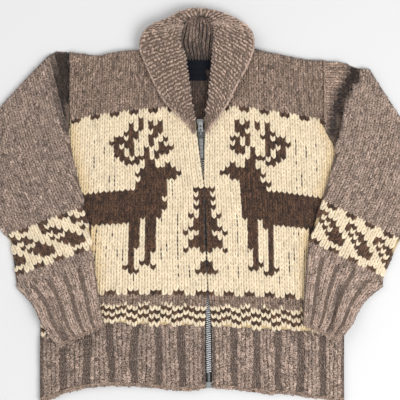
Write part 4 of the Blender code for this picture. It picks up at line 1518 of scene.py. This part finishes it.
def tube_cloth(node: str, stations: list, height: Surface, crossing_y: float, material: Material,
               shade_at: Surface | None = None) -> Piece:
    """A tube of cloth pressed flat between two folds, with a wall round a thin hollow, open at both ends.

    Args:
        node: the solid that it stands for.
        stations: outer and inner fold of each cross-line.
        height: function for the upper face.
        crossing_y: how high up the body it still lies on it.
        material: the wool.
        shade_at: function for the colour at table places; plain heather in painted gap shade without one.

    Returns:
        The piece.
    """
    table = np.array(stations, float)
    index = np.linspace(0, len(table) - 1, (len(table) - 1) * 3 + 1)
    rows = np.stack([np.interp(index, np.arange(len(table)), table[:, k]) for k in range(4)], axis=1)
    share = 0.5 - 0.5 * np.cos(np.linspace(0.0, math.pi, 30))
    wall, rings = 3.0, []
    for ox, oy, ix, iy in rows:
        length = max(math.hypot(ix - ox, iy - oy), 1.0)
        ring = []
        for inset in (0.0, wall):
            skip = (1.6 + inset) / length
            t = lerp(skip, 1.0 - skip, share)
            x, y = lerp(ox, ix, t), lerp(oy, iy, t)
            floor = PLAN.under_sleeve(x, y, crossing_y) + 0.2
            top = np.maximum(height(x, y), floor + 2.4)
            thin = min(inset, 0.9)
            upper = np.stack([x, y, top - thin], axis=1)
            lower = np.stack([x, y, floor + thin], axis=1)[1:-1][::-1]
            ring.append(np.concatenate([upper, lower]))
        rings.append(np.stack(ring))
    points = np.stack(rings)
    size, count = points.shape[2], len(rows)
    number = np.arange(count * 2 * size).reshape(count, 2, size)
    ahead = np.roll(number, -1, axis=2)
    corners = (
        (number[:-1, 0], ahead[:-1, 0], ahead[1:, 0], number[1:, 0]),
        (number[1:, 1], ahead[1:, 1], ahead[:-1, 1], number[:-1, 1]),
        (number[0, 0], number[0, 1], ahead[0, 1], ahead[0, 0]),
        (number[-1, 1], number[-1, 0], ahead[-1, 0], ahead[-1, 1]),
    )
    faces = [face for quad in corners for face in np.stack(quad, axis=-1).reshape(-1, 4).tolist()]
    flat_points = points.reshape(-1, 3)
    piece = add_piece(f"{node}_cloth", flat_points, faces, material)
    bpy.ops.object.select_all(action="DESELECT")
    piece.select_set(True)
    bpy.context.view_layer.objects.active = piece
    bpy.ops.object.mode_set(mode="EDIT")
    bpy.ops.mesh.select_all(action="SELECT")
    bpy.ops.mesh.normals_make_consistent(inside=False)
    bpy.ops.object.mode_set(mode="OBJECT")
    plain = repeated(PAINTED_GAP_SHADE[Wool.HEATHER], len(flat_points))
    shade = shade_at(flat_points[:, 0], flat_points[:, 1]) if shade_at else plain
    paint(piece, shade, flat_points * FIBRE_SCALE)
    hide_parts(node)
    return piece


@dataclass
class Cuff:
    """Ribbed cuff at the end of a sleeve."""

    side: Side
    material: Material
    seed: int
    stations: list
    crossing_y: float
    fold: tuple[tuple[float, float], tuple[float, float]]
    # Lightness of the heather stitches, which is painted light.
    tone: float
    ribs: int = 5
    rows: int = 15
    fold_half: float = 9.0
    fold_depth: float = 5.0
    tube: FlatTube = field(init=False)

    def __post_init__(self) -> None:
        """Plan of the pressed tube."""
        self.tube = FlatTube(self.stations)

    def place(self, share: Array, level: Array) -> tuple[Array, Array]:
        """Table place from a share across, towards the right, and a share down the cuff.

        Args:
            share: shares across.
            level: shares down the cuff.

        Returns:
            The places across and along.
        """
        share = share if self.side is Side.LEFT else 1.0 - share
        table = np.array(self.stations, float)
        index = np.clip(level, -0.06, 1.04) * (len(table) - 1)
        near = np.clip(np.floor(index).astype(int), 0, len(table) - 2)
        ox, oy, ix, iy = (lerp(table[near, k], table[near + 1, k], index - near) for k in range(4))
        return lerp(ox, ix, share), lerp(oy, iy, share)

    def creased(self, x: Array, y: Array) -> Array:
        """1 along the fold that runs down the cuff, 0 beyond its width.

        Args:
            x: places across.
            y: places along.

        Returns:
            The depth there, from 0 to 1.
        """
        return 1.0 - smooth_step(nearest_on(x, y, *self.fold)[3] / self.fold_half)

    def height_of(self, x: Array, y: Array, share: Array) -> Array:
        """Upper face at a place, with the ribs.

        Args:
            x: places across.
            y: places along.
            share: shares across, which the ribs follow.

        Returns:
            The height there.
        """
        base = PLAN.under_sleeve(x, y, self.crossing_y)
        wave = 0.5 - 0.5 * np.cos(2.0 * np.pi * self.ribs * share)
        inward = np.maximum(self.tube.nearest(x, y)[0], 0.0)
        top = base + 2.0 * PLAN.wall + PLAN.seam - 1.2 + 2.2 * wave + wobble(x, y, 0.8)
        return top - edge_drop(inward, 7.0) - self.fold_depth * self.creased(x, y)

    def surface(self, share: Array, level: Array) -> Array:
        """Upper face as points."""
        x, y = self.place(share, 1.0 - level)
        x, y, beyond = self.tube.pulled_in(x, y, 2.4)
        return np.stack([x, y, self.height_of(x, y, share) - 0.9 * beyond], axis=-1)

    def height(self, x: Array, y: Array) -> Array:
        """Upper face for the cloth, from table places."""
        return self.height_of(x, y, np.full(np.shape(x), 0.0)) + 0.4

    def shade(self, share: Array, level: Array) -> Array:
        """Colour of the stitches: lighter by the cuff's tone, which is painted light, with painted shade down
        in the fold.
        """
        dark = self.tone * (1.0 - 0.55 * self.creased(*self.place(share, 1.0 - level)))
        return repeated(WOOL_COLOUR[Wool.HEATHER], len(share)) * dark[:, None] * GREYED

    def build(self) -> None:
        """Make the cuff."""
        tube_cloth(f"cuff_{self.side.value}", self.stations, self.height, self.crossing_y, self.material)
        knitting = Knitting(f"cuff_{self.side.value}_stitches", self.seed)
        knitting.add_ribbing(self.ribs, self.rows, self.shade)
        knitting.bind_off(self.ribs * 4, 0.02, 0.055, 1.05)
        piece = knitting.lay(self.surface, 8.5, self.material)
        LOG.info("cuff %s built", self.side.value)


LEFT_COLLAR = [
    # outer x, outer y, roll x, roll y, height of the top face above the front
    (-11.5, 503, -8.8, 508, 6.5), (-19, 516, -8.6, 521, 11), (-36, 533, -9.0, 537, 13),
    (-53, 548, -13, 549, 14), (-68, 565, -15, 560, 14.5), (-81, 588, -17.5, 578, 15),
    (-93, 612, -21, 603, 15.5), (-104, 637, -24.5, 622, 16), (-113, 660, -27, 643, 16.5),
    (-113, 680, -30, 656, 17), (-107, 694, -36, 667, 17.5), (-98, 703, -39, 680, 18),
    (-85, 711, -37, 690, 18), (-66, 718, -34, 703, 17.5), (-53, 725, -30, 712, 16.5),
    (-38, 734, -22, 721, 15), (-18, 739, -12, 725, 13.5), (-0.2, 739.5, -0.2, 726, 13),
]
RIGHT_COLLAR = [
    (11.8, 503, 9.6, 508, 6.5), (21, 518, 9.6, 521, 11), (36, 535, 9.8, 537, 13), (47, 552, 13, 553, 14),
    (57, 569, 15.5, 570, 14.5), (66, 588, 18, 588, 15), (76, 607, 20.5, 606, 15.5), (87, 625, 22, 624, 16),
    (95, 645, 23.5, 641, 16.5), (101, 662, 24, 656, 17), (102, 679, 25.5, 670, 17.5), (98, 694, 27, 684, 18),
    (89, 706, 27, 696, 18), (72, 717, 25, 706, 17.5), (53, 727, 21, 715, 16.5), (32, 734, 15, 722, 15),
    (14, 738, 8, 725.5, 13.5), (0.2, 739.5, 0.2, 726, 13),
]


@dataclass
class CollarHalf:
    """Half of the shawl collar: it falls over the front, turns at the roll and stands up behind it."""

    side: Side
    material: Material
    seed: int
    stations: list
    # tone and lightness make the heather stitches lighter: painted light on the raised collar.
    tone: float
    ridge_pitch: float = 7.0
    bump_pitch: float = 8.4
    lightness: float = 1.58

    def table(self) -> Array:
        """The stations as an array."""
        return np.array(self.stations, float)

    def surface(self, across: Array, along: Array) -> Array:
        """Face of the collar.

        Args:
            across: 0 at the free edge's middle height, 0.12 on top of it, 0.8 where the roll starts, 1 at the
                roll's inner side, low down.
            along: station number.

        Returns:
            Points of the face.
        """
        table = self.table()
        index = np.clip(along, 0.0, len(table) - 1)
        ox, oy, rx, ry, lift = (np.interp(index, np.arange(len(table)), table[:, k]) for k in range(5))
        middle_x, middle_y = 0.5 * (ox + rx), np.minimum(0.5 * (oy + ry), 640.0)
        front = PLAN.front_high(middle_x, middle_y) + 0.6
        width = np.hypot(rx - ox, ry - oy)
        edge = np.minimum(4.0, 0.25 * width) / width
        roll = np.minimum(9.0, 0.45 * width) / width
        s = np.clip(across, -0.05, 1.05)
        low_turn = np.clip(1.0 - s / 0.12, 0.0, 1.0) * (math.pi / 2)
        high_turn = np.clip((s - 0.78) / 0.22, 0.0, 1.0) * (math.pi * 0.62)
        flat = edge + (1.0 - roll - edge) * np.clip((s - 0.12) / 0.66, 0.0, 1.0)
        share = flat - edge * np.sin(low_turn) + roll * np.sin(np.minimum(high_turn, math.pi / 2))
        share -= roll * 0.25 * (1.0 - np.sin(np.maximum(high_turn, math.pi / 2)))
        rest = PLAN.under_collar(lerp(ox, rx, share), lerp(oy, ry, share))
        crown = np.sin(np.pi * np.clip(share, 0.0, 1.0)) ** 0.7
        top = front + lift - 4.4 + 2.2 * crown + 1.2 * share
        thick = np.maximum(top - rest, 3.0)
        z = top - 0.42 * thick * (1.0 - np.cos(low_turn)) - 0.55 * thick * (1.0 - np.cos(high_turn))
        return np.stack([lerp(ox, rx, share), lerp(oy, ry, share), z], axis=-1)

    def cloth(self) -> Piece:
        """The folded collar as a closed sheet, in painted gap shade made a little lighter.

        Returns:
            The sheet.
        """
        last = len(self.stations) - 1
        across, along = np.meshgrid(np.linspace(0.0, 1.0, 26), np.linspace(0.0, last, last * 3 + 1))
        top = self.surface(across, along)
        plan, high = top[..., :2], top[..., 2]
        low = np.minimum(PLAN.under_collar(top[..., 0], top[..., 1]) + 0.3, high - 0.8)
        shade = np.tile(PAINTED_GAP_SHADE[Wool.HEATHER], (*high.shape, 1)) * 1.3
        if self.side is Side.LEFT:
            plan, low, high = plan[::-1], low[::-1], high[::-1]
        name = f"collar_{self.side.value}"
        piece = shell_piece(f"{name}_cloth", plan, low, high, shade, self.material)
        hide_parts(name)
        return piece

    def stitches(self) -> Piece:
        """Garter ridges that climb across the collar, from the free edge over the roll, and a bound edge.

        Returns:
            The joined piece.
        """
        table = self.table()
        middle = 0.5 * (table[:, :2] + table[:, 2:4])
        steps = np.hypot(*np.diff(middle, axis=0).T)
        travelled = np.concatenate([[0.0], np.cumsum(steps)])
        station = np.arange(len(table), dtype=float)
        centres, across_steps, along_steps = [], [], []
        for k, ridge in enumerate(np.arange(-60.0, travelled[-1], self.ridge_pitch)):
            rise = np.clip(34.0 + 0.22 * (ridge + 20.0), 30.0, 62.0) * smooth_step((232.0 - ridge) / 70.0)
            here = np.interp(np.clip(ridge + 0.5 * rise, 0.0, travelled[-1]), travelled, station)
            ox, oy, rx, ry = (float(np.interp(here, station, table[:, c])) for c in range(4))
            per = max(int((math.hypot(rx - ox, ry - oy) + 10.0) / self.bump_pitch), 1)
            share = 0.09 + (np.arange(per) + 0.5 * (k % 2) + 0.1) * 0.92 / per
            way = ridge + rise * share
            kept = (way > 1.0) & (way < travelled[-1])
            at = np.interp(way, travelled, station)
            ahead, behind = (np.interp(way + step, travelled, station) for step in (2.0, -2.0))
            slope = (ahead - behind) / 4.0
            centres.append(np.stack([share, at], axis=1)[kept])
            across_steps.append(np.stack([np.full(per, 0.92 / per), slope * rise * 0.92 / per], axis=1)[kept])
            along_steps.append(np.stack([np.zeros(per), slope * self.ridge_pitch], axis=1)[kept])
        count = int(travelled[-1] / 7.0)
        at = np.interp(np.linspace(1.0, travelled[-1] - 6.0, count), travelled, station)
        ahead = np.interp(np.linspace(8.0, travelled[-1], count), travelled, station)
        knitting = Knitting(f"collar_{self.side.value}_stitches", self.seed)
        # Lighter heather for the collar's ridges, which is painted light.
        pale = np.array(WOOL_COLOUR[Wool.HEATHER]) * self.lightness * GREYED * self.tone
        ridges = [np.concatenate(rows) for rows in (centres, across_steps, along_steps)]
        border = [np.stack([np.full(count, 0.045), at], axis=1), repeated((0.085, 0.0), count),
                  np.stack([np.zeros(count), ahead - at], axis=1)]
        for loop, (places, across, along), tone, lift in ((Loop.GARTER, ridges, 1.0, 0.02),
                                                          (Loop.KNIT, border, 1.08, 0.0)):
            if self.side is Side.RIGHT:
                places, across, along = places.copy(), across.copy(), along.copy()
                places[:, 0] = 1.0 - places[:, 0]
                across[:, 1] = -across[:, 1]
            knitting.add(loop, places, across, along, repeated(pale * tone, len(places)), lift=lift)
        piece = knitting.lay(self.face, 8.6, self.material)
        return piece

    def face(self, across: Array, along: Array) -> Array:
        """The collar's face with its first place counted from left to right."""
        return self.surface(across if self.side is Side.LEFT else 1.0 - across, along)

    def build(self) -> None:
        """Make this half of the collar."""
        self.cloth()
        self.stitches()
        LOG.info("collar %s built", self.side.value)


@dataclass
class BackAndNeck:
    """The back panel with its ribbing, the back-neck part of the collar and the labels."""

    material: Material
    label_material: Material
    stand_y: tuple[float, float] = (646.0, 722.0)
    stand_ribs: int = 9

    def panel(self, node: str, foot: Callable, head: Callable) -> Piece:
        """A flat panel of the back between two lines, dark with painted shade.

        Args:
            node: the solid that it stands for.
            foot: function for its lower edge, from places across.
            head: the same for its upper edge.

        Returns:
            The panel.
        """
        share, level = unit_grid(48, 40)
        x, y = settled(lambda y: lerp(PLAN.left_side.read(y), PLAN.right_side.read(y), share),
                       lambda x: lerp(foot(x), head(x), level), share.shape)
        # Dark wool colour as painted shade, for the inside of the back seen through the neck.
        shade = np.tile((0.060, 0.039, 0.030), (*share.shape, 1))
        low, high = np.full(x.shape, 0.2), np.full(x.shape, 4.2)
        piece = shell_piece(f"{node}_cloth", np.stack([x, y], axis=2), low, high, shade, self.material)
        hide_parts(node)
        return piece

    def back_cut(self, x: Array) -> Array:
        """Upper edge of the back, cut a little lower at the neck."""
        cut = Line([(-247, 0), (-70, 0), (-45, 4), (0, 6), (42, 6), (62, 0), (236, 0)])
        return PLAN.shoulder.read(x) - cut.read(x)

    def inner_rows(self) -> Piece:
        """Purl side of the back that shows in the neck opening, darkened with painted shade.

        Returns:
            The joined piece.
        """
        column, row = stitch_grid(13, 20)
        x = (column - 6) * STITCH_WIDTH + 0.5 * (row % 2) * STITCH_WIDTH
        y = 505.0 + row * ROW_HEIGHT
        shown = (np.abs(x) < 62.0) & (y < 650.0)
        count = int(shown.sum())
        knitting = Knitting("back_inner_stitches", 11)
        # Dark heather as painted shade inside the neck opening.
        knitting.add(Loop.PURL, np.stack([x[shown], y[shown]], axis=1), repeated((STITCH_WIDTH, 0.0), count),
                     repeated((0.0, ROW_HEIGHT), count), repeated((0.105, 0.066, 0.050), count))

        def face(px: Array, py: Array) -> Array:
            """Inner side of the back."""
            return np.stack([px, py, np.full(px.shape, 3.9)], axis=1)

        piece = knitting.lay(face, 9.0, self.material)
        return piece

    def stand_surface(self, share: Array, level: Array) -> Array:
        """Inner face of the collar at the back neck, with gathered ribs.

        Args:
            share: shares across.
            level: shares up.

        Returns:
            Points of the face.
        """
        foot, head = self.stand_y
        y = lerp(foot, head, level)
        left = np.interp(y, [row[3] for row in LEFT_COLLAR], [row[2] for row in LEFT_COLLAR]) + 0.7
        right = np.interp(y, [row[3] for row in RIGHT_COLLAR], [row[2] for row in RIGHT_COLLAR]) - 0.7
        rise = smooth_step((y - foot) / 70.0)
        dish = (2.0 * share - 1.0) ** 2
        sway = share + 0.018 * np.sin(y / 13.0 + 9.0 * share)
        rib = (0.5 - 0.5 * np.cos(2.0 * np.pi * self.stand_ribs * sway)) ** 0.7
        z = 9.2 + rise * (4.5 + 4.0 * dish) + 3.8 * rib * smooth_step((y - foot) / 12.0) - 1.8
        return np.stack([lerp(left, right, share), y, z], axis=-1)

    def stand(self) -> None:
        """The back-neck part of the collar, with a dark sheet and darkened ribs as painted shade."""
        share, level = unit_grid(73, 22)
        points = self.stand_surface(share, level)
        low = 5.8 * (1.0 - smooth_step((points[..., 1] - 657.0) / 6.0)) + 0.2
        # Nearly black sheet under the ribs: painted shade in the gaps between them.
        shade = np.tile((0.03, 0.019, 0.015), (*share.shape, 1))
        piece = shell_piece("collar_stand_cloth", points[..., :2], low, points[..., 2], shade, self.material)
        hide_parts("collar_stand")
        column, row = stitch_grid(self.stand_ribs, 10)
        share, level = (column + 0.5) / self.stand_ribs, row / 10.0
        y = lerp(*self.stand_y, level)
        share = share - 0.018 * np.sin(y / 13.0 + 9.0 * share)
        # Painted shade: the ribs darker towards both sides, near the foot and along the deep middle fold.
        hollow = (1.0 - 0.55 * np.abs(2.0 * share - 1.0) ** 2.0) * lerp(0.45, 1.0, smooth_step(level * 2.0))
        hollow *= 0.92 - 0.5 * np.exp(-((share - 0.52 - 0.1 * (1.0 - level)) / 0.07) ** 2)
        count = len(share)
        knitting = Knitting("collar_stand_stitches", 12)
        knitting.add(Loop.KNIT, np.stack([share, level], axis=1),
                     repeated((0.68 / self.stand_ribs, 0.0), count), repeated((0.0, 0.1), count),
                     np.array((0.27, 0.188, 0.146)) * hollow[:, None])
        ribs = knitting.lay(self.stand_surface, 7.0, self.material)

    def labels(self) -> None:
        """Woven labels, left bare: they keep their solids and get a cloth finish."""
        for name in ("label_main", "label_size", "label_care"):
            dress_node(name, self.label_material)

    def build(self) -> None:
        """Make the back, the neck and the labels."""
        self.panel("back", lambda x: PLAN.rib_top.read(x) + 0.15, self.back_cut)
        self.panel("hem_back", PLAN.hem.read, lambda x: PLAN.rib_top.read(x) - 0.15)
        self.inner_rows()
        self.stand()
        self.labels()
        LOG.info("back and neck built")


@dataclass
class ZipFittings:
    """Tapes, teeth, slider, pull tab and box of the zip."""

    bright: Material
    metal: Material
    brushed: Material
    dark: Material
    tape: Material
    tooth_pitch: float = 4.0
    tooth_reach: float = 4.5
    tooth_length: float = 2.3
    low_z: float = 7.9
    rise: float = 2.4
    rise_y: float = 476.0
    rise_length: float = 22.0
    chain_foot: float = 52.0
    chain_head: float = 517.0
    bright_below: float = 250.0
    brushed_above: float = 420.0
    hinge: Triple = (1.4, 505.0, 15.8)
    tab_length: float = 50.0
    tab_slope: float = 0.07
    tab_lean: float = 0.045

    def chain_z(self, y: Array) -> Array:
        """Middle height of the chain."""
        return self.low_z + self.rise * smooth_step((y - self.rise_y) / self.rise_length)

    def blocks(self, name: str, centres: Array, half: Triple, turn: float, taper: float,
               material: Material) -> Piece:
        """Many small bevelled blocks joined into one piece.

        Args:
            name: the piece's name.
            centres: middle of each block.
            half: half the size of a block along each axis.
            turn: how far each block is turned about Z, in radians.
            taper: size of a block's top as a share of its middle.
            material: its finish.

        Returns:
            The piece.
        """
        unit, plan = shaped_primitive(lambda: bpy.ops.mesh.primitive_cube_add(size=2.0),
                                      lambda: bpy.ops.mesh.bevel(offset=0.3, segments=1))
        narrow = np.where(unit[:, 2:] > 0.9, taper, 1.0)
        unit = unit * np.concatenate([narrow, narrow, np.ones_like(narrow)], axis=1) * half
        turned = np.stack([unit[:, 0] * math.cos(turn) - unit[:, 1] * math.sin(turn),
                           unit[:, 0] * math.sin(turn) + unit[:, 1] * math.cos(turn), unit[:, 2]], axis=1)
        points = (centres[:, None, :] + turned[None]).reshape(-1, 3)
        faces = [[v + k * len(unit) for v in face] for k in range(len(centres)) for face in plan]
        piece = add_piece(name, points, faces, material)
        piece.data.shade_flat()
        return piece

    def teeth(self, side: Side) -> None:
        """One side's row of teeth, bright low down where the chain is rubbed, dull further up.

        Args:
            side: which half of the zip.
        """
        y = np.arange(self.chain_foot, self.chain_head, self.tooth_pitch)
        y = y + (0.35 * self.tooth_pitch if side is Side.RIGHT else 0.0)
        top = y > self.brushed_above
        for part, material, kept in (("bright", self.bright, y < self.bright_below),
                                     ("dull", self.dark, (y >= self.bright_below) & ~top),
                                     ("brushed", self.brushed, top)):
            at = y[kept]
            x = PLAN.zip_line.read(at) + side.sign * self.tooth_reach * 0.5
            centres = np.stack([x, at, self.chain_z(at) + 0.2], axis=1)
            half = (0.5 * self.tooth_reach + 0.3, 0.5 * self.tooth_length, 2.2)
            teeth = self.blocks(f"zip_{side.value}_{part}_teeth", centres, half, 0.0, 0.8, material)

    def tape_strip(self, side: Side) -> None:
        """One side's tape, with its beaded edge under the teeth.

        Args:
            side: which half of the zip.
        """
        y = np.linspace(34.0, self.chain_head - 1.0, 90)
        across = np.array([0.4, 2.0, 4.0, 5.4, 8.0, 12.0, 17.2])
        plan_x = PLAN.zip_line.read(y)[:, None] + side.sign * across[None, :]
        plan = np.stack([plan_x, np.repeat(y[:, None], len(across), axis=1)], axis=2)
        bead = np.where(across < 4.6, 0.9, 0.0)[None, :]
        middle = np.repeat((self.chain_z(y) - 1.5)[:, None], len(across), axis=1)
        low, high = middle - 0.5, middle + 0.5 + bead
        if side is Side.LEFT:
            plan, low, high = plan[:, ::-1], low[:, ::-1], high[:, ::-1]
        shade = np.tile((0.04, 0.036, 0.034), (*low.shape, 1))
        piece = shell_piece(f"zip_{side.value}_tape", plan, low, high, shade, self.tape)
        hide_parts(f"zip_{side.value}")

    def pin(self) -> None:
        """The pins at the foot of the chain, one from each tape, that meet in the box."""
        y = np.array([36.0, 40.0, 44.0, 48.0])
        for side in Side:
            x = PLAN.zip_line.read(y) + side.sign * 1.2
            centres = np.stack([x, y, np.full(4, self.low_z + 0.2)], axis=1)
            pin = self.blocks(f"zip_pin_{side.value}", centres, (1.0, 2.6, 1.4), 0.0, 0.8, self.metal)

    def slider_details(self) -> None:
        """Rounded crown and two dimples on the slider's upper plate."""
        top = self.hinge[2] - 1.4
        crown = np.array([[1.0, 522.0, top], [1.3, 512.0, top]])
        piece = self.blocks("slider_crown", crown, (4.0, 4.6, 1.0), 0.02, 0.8, self.brushed)
        dimples = np.array([[0.9, 518.0, top + 0.9], [1.2, 510.5, top + 0.9]])
        piece = self.blocks("slider_dimples", dimples, (1.5, 1.8, 0.35), 0.0, 0.9, self.dark)

    def tab_details(self) -> None:
        """Ridges across the pull tab, which swing with it."""
        away = np.arange(12.0, self.tab_length - 2.0, 2.6)
        centres = np.stack([self.hinge[0] + self.tab_lean * away, self.hinge[1] - away,
                            self.hinge[2] - self.tab_slope * away + 0.9], axis=1)
        for part, half_x, chosen in (("head", 3.4, slice(0, 5)), ("foot", 2.7, slice(5, None))):
            ridges = self.blocks(f"pull_ridges_{part}", centres[chosen], (half_x, 0.75, 0.4),
                                 self.tab_lean, 0.8, self.brushed)
            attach(ridges, "pull")

    def build(self) -> None:
        """Make the tapes and teeth and dress the metal pieces."""
        for name, finish in (("slider", self.metal), ("pull_tab", self.dark), ("zip_box", self.metal)):
            dress_node(name, finish)
        for side in Side:
            self.tape_strip(side)
            self.teeth(side)
        self.pin()
        self.slider_details()
        self.tab_details()
        LOG.info("zip built")


@dataclass(frozen=True)
class Studio:
    """Pale floor, soft light and the camera above the middle of the garment."""

    distance: float = 2.1
    frame_width: float = 0.756
    aim: tuple[float, float] = (0.0055, 0.01025)
    garment_z: float = 0.015

    def floor(self) -> None:
        """A wide pale floor."""
        bpy.ops.object.select_all(action="DESELECT")
        bpy.ops.mesh.primitive_plane_add(size=8.0, location=(0.0, 0.0, 0.0))
        floor = bpy.context.object
        floor.name = "floor"
        pale = NodeBench("pale_floor", {"Base Color": (0.793, 0.793, 0.797, 1.0), "Roughness": 0.7})
        floor.data.materials.append(pale.material)

    def light(self, name: str, place: Triple, size: float, watts: float) -> None:
        """A soft square light that faces the garment.

        Args:
            name: the lamp's name.
            place: where it hangs.
            size: its side.
            watts: its power.
        """
        data = bpy.data.lights.new(name, "AREA")
        data.size = size
        data.energy = watts
        lamp = bpy.data.objects.new(name, data)
        bpy.context.scene.collection.objects.link(lamp)
        lamp.location = place
        lamp.rotation_euler = Vector(place).to_track_quat("Z", "Y").to_euler()

    def camera(self) -> None:
        """Look straight down."""
        data = bpy.data.cameras.new("camera")
        data.sensor_width = 36.0
        data.lens = 36.0 * self.distance / self.frame_width
        eye = bpy.data.objects.new("camera", data)
        bpy.context.scene.collection.objects.link(eye)
        eye.location = (*self.aim, self.garment_z + self.distance)
        bpy.context.scene.camera = eye

    def build(self) -> None:
        """Set the scene up."""
        self.floor()
        self.light("key", (1.3, -0.9, 2.2), 1.6, 50.0)
        self.light("fill", (-1.6, 1.1, 2.2), 2.0, 19.0)
        world = bpy.data.worlds.new("studio")
        bpy.context.scene.world = world
        world.use_nodes = True
        backdrop = world.node_tree.nodes["Background"]
        backdrop.inputs["Color"].default_value = (1.0, 1.0, 1.0, 1.0)
        backdrop.inputs["Strength"].default_value = 0.5
        bpy.context.scene.view_settings.view_transform = "Standard"
        self.camera()


def main() -> None:
    """Build every piece in order."""
    logging.basicConfig(level=logging.INFO, format="%(message)s")
    wool = YarnFinish("heather_and_cream_wool").material()
    bright = MetalFinish("rubbed_nickel", (0.80, 0.82, 0.84), 0.34).material()
    metal = MetalFinish("worn_nickel", (0.28, 0.295, 0.30), 0.45).material()
    brushed = MetalFinish("brushed_nickel", (0.44, 0.445, 0.44), 0.5).material()
    dark = MetalFinish("dull_nickel", (0.13, 0.13, 0.12), 0.6).material()
    tape = WovenFinish("zip_tape_weave", (0.045, 0.038, 0.034), 0.8).material()
    label = WovenFinish("label_weave", (0.009, 0.011, 0.017), 1.1).material()
    BackAndNeck(wool, label).build()
    Front(Side.LEFT, wool, columns=29, ribs=7, seed=1, stag_shift=0.0, hem_painted_light=1.10).build()
    Front(Side.RIGHT, wool, columns=27, ribs=6, seed=2, stag_shift=0.8, hem_painted_light=1.24).build()
    Sleeve(Side.LEFT, wool, 5, LEFT_SLEEVE, LEFT_CROSSING, LEFT_CREASE, crease_body=60.0, crease_sleeve=36.0,
           across_deg=20.0, column_deg=25.0, turn_deg=12.0, band_foot=(-273.0, 262.0), leaf=(3.4, 5.2, 0.85),
           tone=1.14).build()
    Sleeve(Side.RIGHT, wool, 6, RIGHT_SLEEVE, RIGHT_CROSSING, RIGHT_CREASE, crease_body=36.0,
           crease_sleeve=12.0, across_deg=-26.0, column_deg=-27.0, turn_deg=20.0, band_foot=(277.0, 267.0),
           leaf=(0.6, 4.7, 0.68), tone=1.24, capped=True).build()
    Cuff(Side.LEFT, wool, 7, LEFT_CUFF, LEFT_CROSSING, ((-280.0, 189.0), (-246.0, 104.0)), tone=1.46).build()
    Cuff(Side.RIGHT, wool, 8, RIGHT_CUFF, RIGHT_CROSSING, ((262.0, 215.0), (244.0, 132.0)), tone=1.46).build()
    CollarHalf(Side.LEFT, wool, 9, LEFT_COLLAR, tone=1.0).build()
    CollarHalf(Side.RIGHT, wool, 10, RIGHT_COLLAR, tone=1.08).build()
    ZipFittings(bright, metal, brushed, dark, tape).build()
    Studio().build()


if __name__ == "__main__":
    main()
